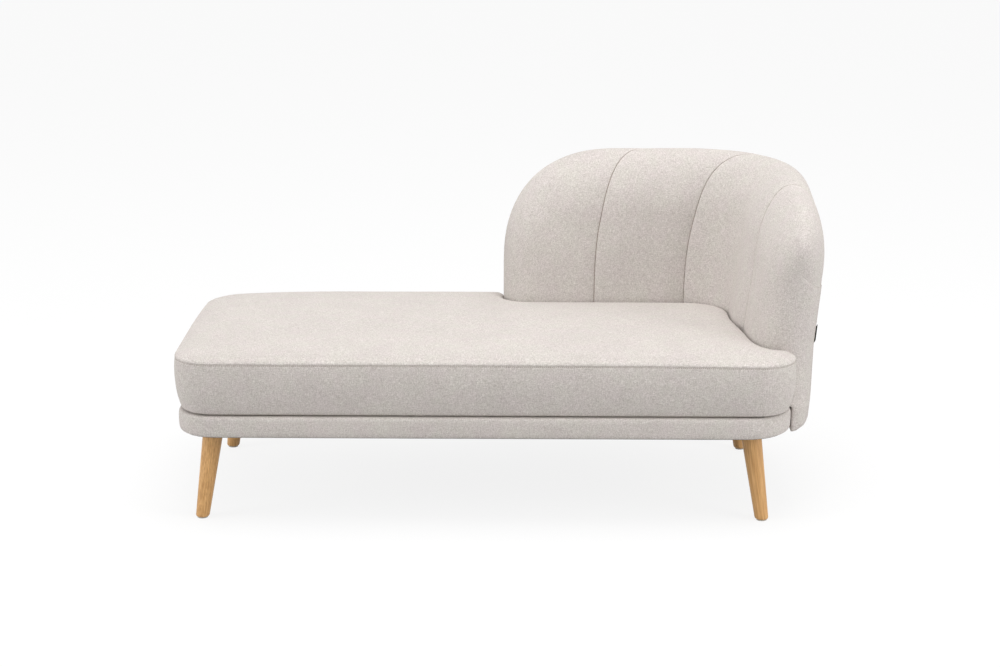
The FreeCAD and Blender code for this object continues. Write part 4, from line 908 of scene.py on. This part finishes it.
# Backrest surface: moulded foam round the plywood shell, under a cover of four quilted
# channels inside and over the roll, and one outer panel. All follow one surface, which runs
# along the rear face of the base, round the corner and forward along the end.
BACK_TOP = 0.7616
BACK_BOTTOM = 0.205
PAD_BOTTOM = 0.270
ROLL_HEIGHT = 0.1507
END_ROLL = 0.15
LEFT_FALL_RUN, LEFT_FALL = 0.289, 0.283
WING_FALL_RUN, WING_FALL = 0.583, 0.157
FALL_POWER = 2.35
FACE_START = 0.400
FACE_SLOPE = (INNER_FACE - 0.0803) / 0.240
OUTER_REACH = 0.046
OUTER_SLOPE = (0.0834 - OUTER_REACH) / 0.435
ROLL_LEAN = (FACE_SLOPE + OUTER_SLOPE) / 2
WING_BEND = 0.39
LOWER_EDGE = 0.015
SKIRT_INSIDE = 0.0012
SKIRT_ROUND = 0.085
SKIRT_RETURN = 0.025


def station(along):
    """Points on the base face and the outward directions there."""
    swing = np.clip((along - REAR_RUN) / CORNER_BACK, 0, math.pi / 2)
    outward = np.stack([np.sin(swing), np.cos(swing)], -1)
    origin = CORNER_MIDDLE + outward * CORNER_BACK
    origin[..., 0] += np.minimum(along - REAR_RUN, 0)
    origin[..., 1] -= np.maximum(along - REAR_RUN - CORNER_RUN, 0)
    return origin, outward


def fall(distance, run, drop):
    """How far a rounded upper corner has dropped, this far from its end."""
    rest = np.clip(1 - distance / run, 0, 1)
    return drop * (1 - (1 - rest ** FALL_POWER) ** (1 / FALL_POWER))


def end_shares(along, inset, left_run, wing_run):
    """Share of the full thickness, with a half-round at both ends."""
    share = 1.0
    for distance, run in ((along - inset, left_run), (BACK_RUN - along - inset, wing_run)):
        share = share * np.sqrt(np.clip(1 - np.clip(1 - distance / run, 0, 1) ** 2, 0, 1))
    return share


def back_surface(along, level, inset=0.0):
    """Points of the backrest. level runs 0 to 1 up the inner face, to 2 over the roll, to 3
    down the outer face, to 4 down the skirt, to 5 in under it and to 6 up inside it."""
    top = BACK_TOP - inset
    top = top - fall(along, LEFT_FALL_RUN, LEFT_FALL)
    top = top - fall(BACK_RUN - along, WING_FALL_RUN, WING_FALL)
    share = end_shares(along, inset, LEFT_END_ROUND, WING_END_ROUND)
    roll = (ROLL_HEIGHT - inset) * np.minimum(1, share + END_ROLL)
    spring = top - roll
    angle = np.clip(level - 1, 0, 1) * math.pi
    on_roll = (level >= 1) & (level <= 2)
    rise = np.where(on_roll, roll * np.sin(angle), 0)
    face_rise = PAD_BOTTOM + np.minimum(level, 3 - level) * (spring - PAD_BOTTOM)
    down = np.clip(level - 3, 0, 1) * (PAD_BOTTOM - BACK_BOTTOM - inset)
    down = down - np.clip(level - 5, 0, 1) * SKIRT_RETURN
    face_height = np.where(on_roll, spring, np.where(level <= 3, face_rise, PAD_BOTTOM - down))
    height = face_height + rise
    inner = flare(along) - INNER_FACE + np.maximum(face_height - FACE_START, 0) * FACE_SLOPE
    outer = OUTER_REACH + (face_height - BACK_BOTTOM) * OUTER_SLOPE
    wing_round = np.interp(face_height, (PAD_BOTTOM, WING_BEND), (SKIRT_ROUND, WING_END_ROUND))
    outer_share = end_shares(along, inset, LEFT_END_ROUND, wing_round)
    half = ((outer - inner) / 2 - inset) * np.where(level > 2, outer_share, share)
    reach = (inner + outer) / 2 + ROLL_LEAN * rise - half * np.cos(angle)
    near_bottom = np.clip(1 - (height - BACK_BOTTOM - inset) / LOWER_EDGE, 0, 1)
    rounding = LOWER_EDGE * (1 - np.sqrt(1 - near_bottom ** 2))
    skirt = outer - inset - rounding - SKIRT_INSIDE
    skirt = skirt * end_shares(along, inset, SKIRT_ROUND, SKIRT_ROUND)
    skirt = SKIRT_INSIDE + skirt * (1 - np.clip(level - 4, 0, 1))
    reach = np.where(level > 3, skirt, reach)
    origin, outward = station(along)
    return np.concatenate([origin + outward * reach[..., None], height[..., None]], -1)


# Channel seams: each is where it leaves the seat, how far it swings along the backrest, up
# to which level, and how late it swings. The cloth is drawn in at a seam, and painted shade
# darkens it there.
SEAMS = [(0.226, 0.150, 1.6, 4.64), (0.448, 0.219, 1.6, 3.51), (0.940, -0.038, 1.4, 2.84)]
GROOVE_DEPTHS = (0.0045, 0.0045, 0.0075)
GROOVE_REACH = 0.060
CREASE_DEPTH = 0.0016
CREASE_WIDTH = 0.0018
END_CREASE_WIDTH = 0.003
SEAM_GAPS = (0.0, 0.0006, 0.0013, 0.0024, 0.0042, 0.0070, 0.0110, 0.0165, 0.0240)
JOINT_LEVEL = 2 + 1 / 39
JOINT_DEPTH = 0.0010
JOINT_SPREAD = 0.012
JOINT_FADE = 0.004
LEFT_WRAP = 0.050
WING_WRAP = 0.072
FACE_LEVELS = np.sort(np.concatenate([np.linspace(0, 1, 40), [0.981, 0.988]]))
SKIRT_LEVELS = np.concatenate([np.linspace(3.1, 4, 12), [4.3, 4.7, 5.0, 5.5, 6.0]])
LEVELS = np.concatenate([FACE_LEVELS, np.linspace(1, 2, 49)[1:-1], 3 - FACE_LEVELS[-4:][::-1]])
WRAP_LEVELS = np.concatenate([3 - FACE_LEVELS[:-3][::-1], SKIRT_LEVELS])
OUTER_LEVELS = np.concatenate([[JOINT_LEVEL, 2.032, 2.042], np.linspace(2.06, 3, 34),
                               SKIRT_LEVELS])


def seam_run(seam, level):
    """A channel seam's place along the backrest at a level of its section."""
    start, swing, last, late = seam
    return start + swing * (np.minimum(level, last) / last) ** late


def groove(distance, depth):
    """How deep the cloth is drawn in, this far from a channel seam."""
    broad = depth * np.clip(1 - distance / GROOVE_REACH, 0, 1) ** 2
    return broad + CREASE_DEPTH * np.exp(-distance / CREASE_WIDTH)


def end_groove(distance):
    """How deep it is drawn in at the outer panel's end seams."""
    return CREASE_DEPTH * np.exp(-distance / END_CREASE_WIDTH)


def joint_pull(along, level):
    """How deep it is drawn in along the outer panel's upper joint."""
    inside = np.minimum(along - LEFT_WRAP, BACK_RUN - WING_WRAP - along) / JOINT_FADE
    near = np.exp(-np.abs(level - JOINT_LEVEL) / JOINT_SPREAD)
    return JOINT_DEPTH * np.clip(inside, 0, 1) * near


def crease_shade(distance):
    """Shade in the crease of a seam."""
    return np.clip(1.35 - distance / 0.0010, 0, 1)


def half_round(run, count):
    """Column distances that follow a half-round end."""
    return [run * (1 - math.cos(math.pi / 2 * index / count)) for index in range(count + 1)]


def end_gaps(run, count, wrap):
    """Column distances of a half-round end, closer together at the outer seam."""
    fine = [wrap - gap for gap in SEAM_GAPS[:6]]
    return sorted(fine + [gap for gap in half_round(run, count)
                          if min(abs(gap - other) for other in fine) > 0.0012])


def run_columns(first, last, fine_first, fine_last, step):
    """Column places between two lines that move with level, closer together near them."""
    room = (last - first).max() - fine_first[-1] - fine_last[-1]
    count = max(2, round(room / step))
    low, high = first + fine_first[-1], last - fine_last[-1]
    between = [low + (high - low) * index / count for index in range(1, count)]
    columns = [first + gap for gap in fine_first] + between
    return np.stack(columns + [last - gap for gap in fine_last[::-1]], 1)


def vertex_normals(points, faces):
    """Unit normals of a grid's points."""
    quads = np.array(faces)
    flat = np.cross(points[quads[:, 2]] - points[quads[:, 0]],
                    points[quads[:, 3]] - points[quads[:, 1]])
    normals = np.zeros_like(points)
    for column in range(4):
        np.add.at(normals, quads[:, column], flat)
    return normals / np.maximum(np.linalg.norm(normals, axis=1), 1e-12)[:, None]


def cloth_grid(along, levels, pull, seam, uneven, from_right=False):
    """Points, faces, cloth places and seam shade of one stretch of cover. pull draws it
    inwards, uneven makes it wavy, and from_right measures the cloth from its last column."""
    rows, columns = along.shape
    points = back_surface(along, np.repeat(levels[:, None], columns, 1))
    flat = points.reshape(-1, 3)
    waves = [wander(*point, 0.17, 51) + 0.45 * wander(*point, 0.06, 57) for point in flat]
    pull = pull + uneven * np.array(waves).reshape(rows, columns)
    pull = pull * np.clip(np.minimum(along, BACK_RUN - along) / 0.02, 0, 1)
    faces = grid_faces(rows, columns)
    drawn = flat - vertex_normals(flat, faces) * pull.reshape(-1, 1)
    middle = points[:, columns // 2]
    heights = np.cumsum(np.linalg.norm(np.diff(middle, axis=0, prepend=middle[:1]), axis=1))
    widths = np.linalg.norm(np.diff(points, axis=1), axis=2)
    if from_right:
        over = along[:, -1:] - np.cumsum(widths[:, ::-1], 1)[:, ::-1]
        over = np.concatenate([over, along[:, -1:]], 1)
    else:
        over = np.concatenate([along[:, :1], along[:, :1] + np.cumsum(widths, 1)], 1)
    places = np.stack([over, np.repeat(heights[:, None], columns, 1)], -1).reshape(-1, 2)
    return drawn, faces, places, seam.ravel()


def cover_piece(name, grids, wall):
    """One closed piece of cover from its grids, walled towards the foam."""
    points, faces, places, seam = [], [], [], []
    for grid_points, grid, grid_places, grid_seam_shade in grids:
        start = len(points)
        points += list(grid_points)
        faces += [tuple(start + index for index in face) for face in grid]
        places += list(grid_places)
        seam += list(grid_seam_shade)
    thing = add_mesh(name, points, faces, places, seam)
    tidy_mesh(thing, 0.00015)
    add_wall(thing, wall, -1)
    thing.data.materials.append(fabric)
    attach(thing, "root")
    return thing


# Channel covers: four pieces of fabric over wadding, from the seat over the roll to the
# outer panel's upper joint. The first and the last also wrap round their end, down to the
# lower edge, as far as the outer panel's end seams.
CHANNEL_WALL = 0.006
UNEVEN_CHANNEL = 0.0007
UNEVEN_PANEL = 0.0006
LEFT_GAPS = end_gaps(LEFT_END_ROUND, 10, LEFT_WRAP)
WING_GAPS = end_gaps(WING_END_ROUND, 16, WING_WRAP)
last_channel = len(SEAMS)
shallow = 1 - 0.93 * np.clip((LEVELS[:, None] - 1.05) / 0.35, 0, 1)
for number in range(last_channel + 1):
    first, fine_first = np.zeros_like(LEVELS), LEFT_GAPS
    last, fine_last = np.full_like(LEVELS, BACK_RUN), WING_GAPS
    if number > 0:
        first, fine_first = seam_run(SEAMS[number - 1], LEVELS), SEAM_GAPS
    if number < last_channel:
        last, fine_last = seam_run(SEAMS[number], LEVELS), SEAM_GAPS
    along = run_columns(first, last, fine_first, fine_last, 0.009)
    pull = joint_pull(along, LEVELS[:, None])
    # seam holds painted shade for the fabric's colour, in the crease beside each channel seam.
    seam = np.zeros_like(along)
    if number > 0:
        pull += groove(along - first[:, None], GROOVE_DEPTHS[number - 1] * shallow)
        seam += crease_shade(along - first[:, None])
    if number < last_channel:
        pull += groove(last[:, None] - along, GROOVE_DEPTHS[number] * shallow)
        seam += crease_shade(last[:, None] - along)
    grids = [cloth_grid(along, LEVELS, pull, seam, UNEVEN_CHANNEL, number == 0)]
    if number in (0, last_channel):
        if number == 0:
            wrapped = np.array([gap for gap in LEFT_GAPS if gap <= LEFT_WRAP])
            from_seam = LEFT_WRAP - wrapped
        else:
            wrapped = np.array([BACK_RUN - gap for gap in WING_GAPS if gap <= WING_WRAP])
            from_seam = wrapped - BACK_RUN + WING_WRAP
        along, from_seam = (np.repeat(run[None], len(WRAP_LEVELS), 0)
                            for run in (wrapped, from_seam))
        # The wrap gets painted shade in the crease beside the outer panel's end seam.
        grids.append(cloth_grid(along, WRAP_LEVELS, end_groove(from_seam),
                                crease_shade(from_seam), UNEVEN_CHANNEL))
    channel = cover_piece(f"back_channel_{number + 1}", grids, CHANNEL_WALL)
    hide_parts(f"back_cover_channel_{number + 1}")

# Outer panel: one sheet from the joint under the roll down to the lower edge and in under
# it, between the two end seams.
level = OUTER_LEVELS
first = np.full_like(level, LEFT_WRAP)
last = np.full_like(level, BACK_RUN - WING_WRAP)
along = run_columns(first, last, SEAM_GAPS, SEAM_GAPS, 0.012)
from_first, from_last = along - first[:, None], last[:, None] - along
pull = end_groove(from_first) + end_groove(from_last) + joint_pull(along, level[:, None])
# Painted shade in the creases beside both end seams.
seam = crease_shade(from_first) + crease_shade(from_last)
outer_panel = cover_piece(
    "back_outer_panel", [cloth_grid(along, level, pull, seam, UNEVEN_PANEL)], FABRIC_WALL)
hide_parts("back_cover_outer")

# Backrest foam: one moulded form round the shell, a little inside the cover everywhere,
# closed flat at the pad's underside.
FOAM_DEPTH = 0.0180
foam_levels = np.concatenate([np.linspace(start, start + 1, count)[:-1] for start, count in
                              ((0, 14), (1, 17), (2, 14), (3, 6))] + [np.linspace(4, 5, 3)])
run_first = FOAM_DEPTH + np.array(half_round(LEFT_END_ROUND, 8))
run_last = BACK_RUN - FOAM_DEPTH - np.array(half_round(WING_END_ROUND, 10))[::-1]
foam_runs = np.concatenate([run_first, np.linspace(run_first[-1], run_last[0], 36)[1:-1],
                            run_last])
rows, columns = len(foam_levels) + 1, len(foam_runs)
surface = back_surface(np.repeat(foam_runs[None], rows - 1, 0),
                       np.repeat(foam_levels[:, None], columns, 1), FOAM_DEPTH)
closing = surface[-1:].copy()
closing[..., 2] = PAD_BOTTOM
points = np.concatenate([surface, closing]).reshape(-1, 3)
bottom = (rows - 1) * columns
faces = grid_faces(rows, columns)
faces += [(bottom + column, bottom + column + 1, column + 1, column)
          for column in range(columns - 1)]
back_foam = add_mesh("back_foam_block", points, faces)
tidy_mesh(back_foam, 0.0002)
back_foam.data.materials.append(foam)
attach(back_foam, "root")
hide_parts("back_foam")

# Tag: a plain black woven tape, folded once and sewn into the outer seam near the wing's
# end. It lies flat on the outer panel.
tape, tape_shader, field = finish("black_tape", 1.0, Specular_IOR_Level=0.0)
warp = field.place("Object").grain(1600)
feed(tape_shader, Base_Color=warp.tint((0.004, 0.004, 0.004), (0.014, 0.014, 0.014)),
     Normal=warp.relief(0.0003, 0.6))
TAG_LENGTH = 0.020
SEAM_ROOM = 0.0006
TAG_LOW, TAG_HIGH = 0.3981, 0.4360
TAPE_WALL = 0.00045
LAYER_OFF = 0.0010
LAYER_GAP = 0.0006
LAYER_SPREAD = 0.0016
tag_path = [(share, LAYER_OFF + LAYER_SPREAD * share) for share in np.linspace(0, 1, 9)]
tag_path += [(1 + 0.020 * math.cos(swing), 0.0029 + 0.0004 * math.sin(swing))
             for swing in np.linspace(-1.2, 1.2, 5)]
tag_path += [(share, LAYER_OFF + LAYER_GAP + LAYER_SPREAD * share)
             for share in np.linspace(1, 0, 9)]
tag_heights = np.linspace(TAG_LOW, TAG_HIGH, 9)
face_levels = np.linspace(2.0, 3.0, 60)
points, places = [], []
for share, off in tag_path:
    run = BACK_RUN - WING_WRAP - SEAM_ROOM - share * TAG_LENGTH
    face = back_surface(np.full(60, run), face_levels)[::-1]
    outward = station(np.array([run]))[1][0]
    for height in tag_heights:
        x, y = (np.interp(height, face[:, 2], face[:, axis]) + outward[axis] * off
                for axis in range(2))
        points.append((x, y, height))
        places.append((share * TAG_LENGTH, height))
tag = add_mesh("folded_tag", points, grid_faces(len(tag_path), len(tag_heights)), places)
tag.data.materials.append(tape)
add_wall(tag, TAPE_WALL, 0)
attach(tag, "root")
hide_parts("side_tag")

# Surroundings: a floor and world that the camera sees as white, and that light the piece
# as a pale grey room would. The floor keeps a faint shadow under it.
FLOOR_WHITE = 0.85
FLOOR_HALF = 60
ROOM_LIGHT = 0.67


def seen_share(tree):
    """1 where the camera looks, straight or through glass or a gloss, and 0 elsewhere."""
    rays = Field(tree).node("ShaderNodeLightPath")
    straight, glossy, clear = (
        Field(tree, rays.socket.node.outputs[name])
        for name in ("Is Camera Ray", "Is Glossy Ray", "Is Transmission Ray"))
    return rays.math("MAXIMUM", rays.math("MAXIMUM", straight, glossy), clear)


paper, paper_shader, field = finish("paper_floor", 0.9)
seen = seen_share(field.tree)
feed(paper_shader, Base_Color=seen.tint((0.50, 0.50, 0.50), (0.93, 0.93, 0.93)))
glow = field.node("ShaderNodeEmission", None, {"Color": (1, 1, 1, 1), "Strength": 1.0})
matt = Field(field.tree, paper_shader.outputs[0])
floor_mix = field.node("ShaderNodeMixShader", None, {0: seen * FLOOR_WHITE, 1: matt, 2: glow})
output = field.tree.nodes["Material Output"]
field.tree.links.new(floor_mix.socket, output.inputs["Surface"])
floor_points = [(x * FLOOR_HALF, y * FLOOR_HALF, 0)
                for x, y in ((-1, -1), (1, -1), (1, 1), (-1, 1))]
floor = add_mesh("floor", floor_points, [(0, 1, 2, 3)])
floor.data.materials.append(paper)
world = bpy.data.worlds.new("surroundings")
scene.world = world
world.use_nodes = True
background = world.node_tree.nodes["Background"]
feed(background, Strength=seen_share(world.node_tree) * (1 - ROOM_LIGHT) + ROOM_LIGHT)
background.inputs["Color"].default_value = (1, 1, 1, 1)

# Lights: one wide disk overhead and one at each side.
for name, place, aim, size, power in (
        ("overhead", (0.2, -0.5, 4.2), (0, 0, 0.3), 3.0, 94),
        ("right_side", (4.2, -2.2, 1.6), (0.4, 0, 0.4), 2.4, 75),
        ("left_side", (-4.6, -1.6, 1.9), (0.2, 0, 0.5), 2.4, 72)):
    lamp = bpy.data.lights.new(name, "AREA")
    lamp.shape = "DISK"
    lamp.size = size
    lamp.energy = power
    thing = bpy.data.objects.new(name, lamp)
    thing.location = place
    thing.rotation_euler = (Vector(aim) - Vector(place)).to_track_quat("-Z", "Y").to_euler()
    scene.collection.objects.link(thing)
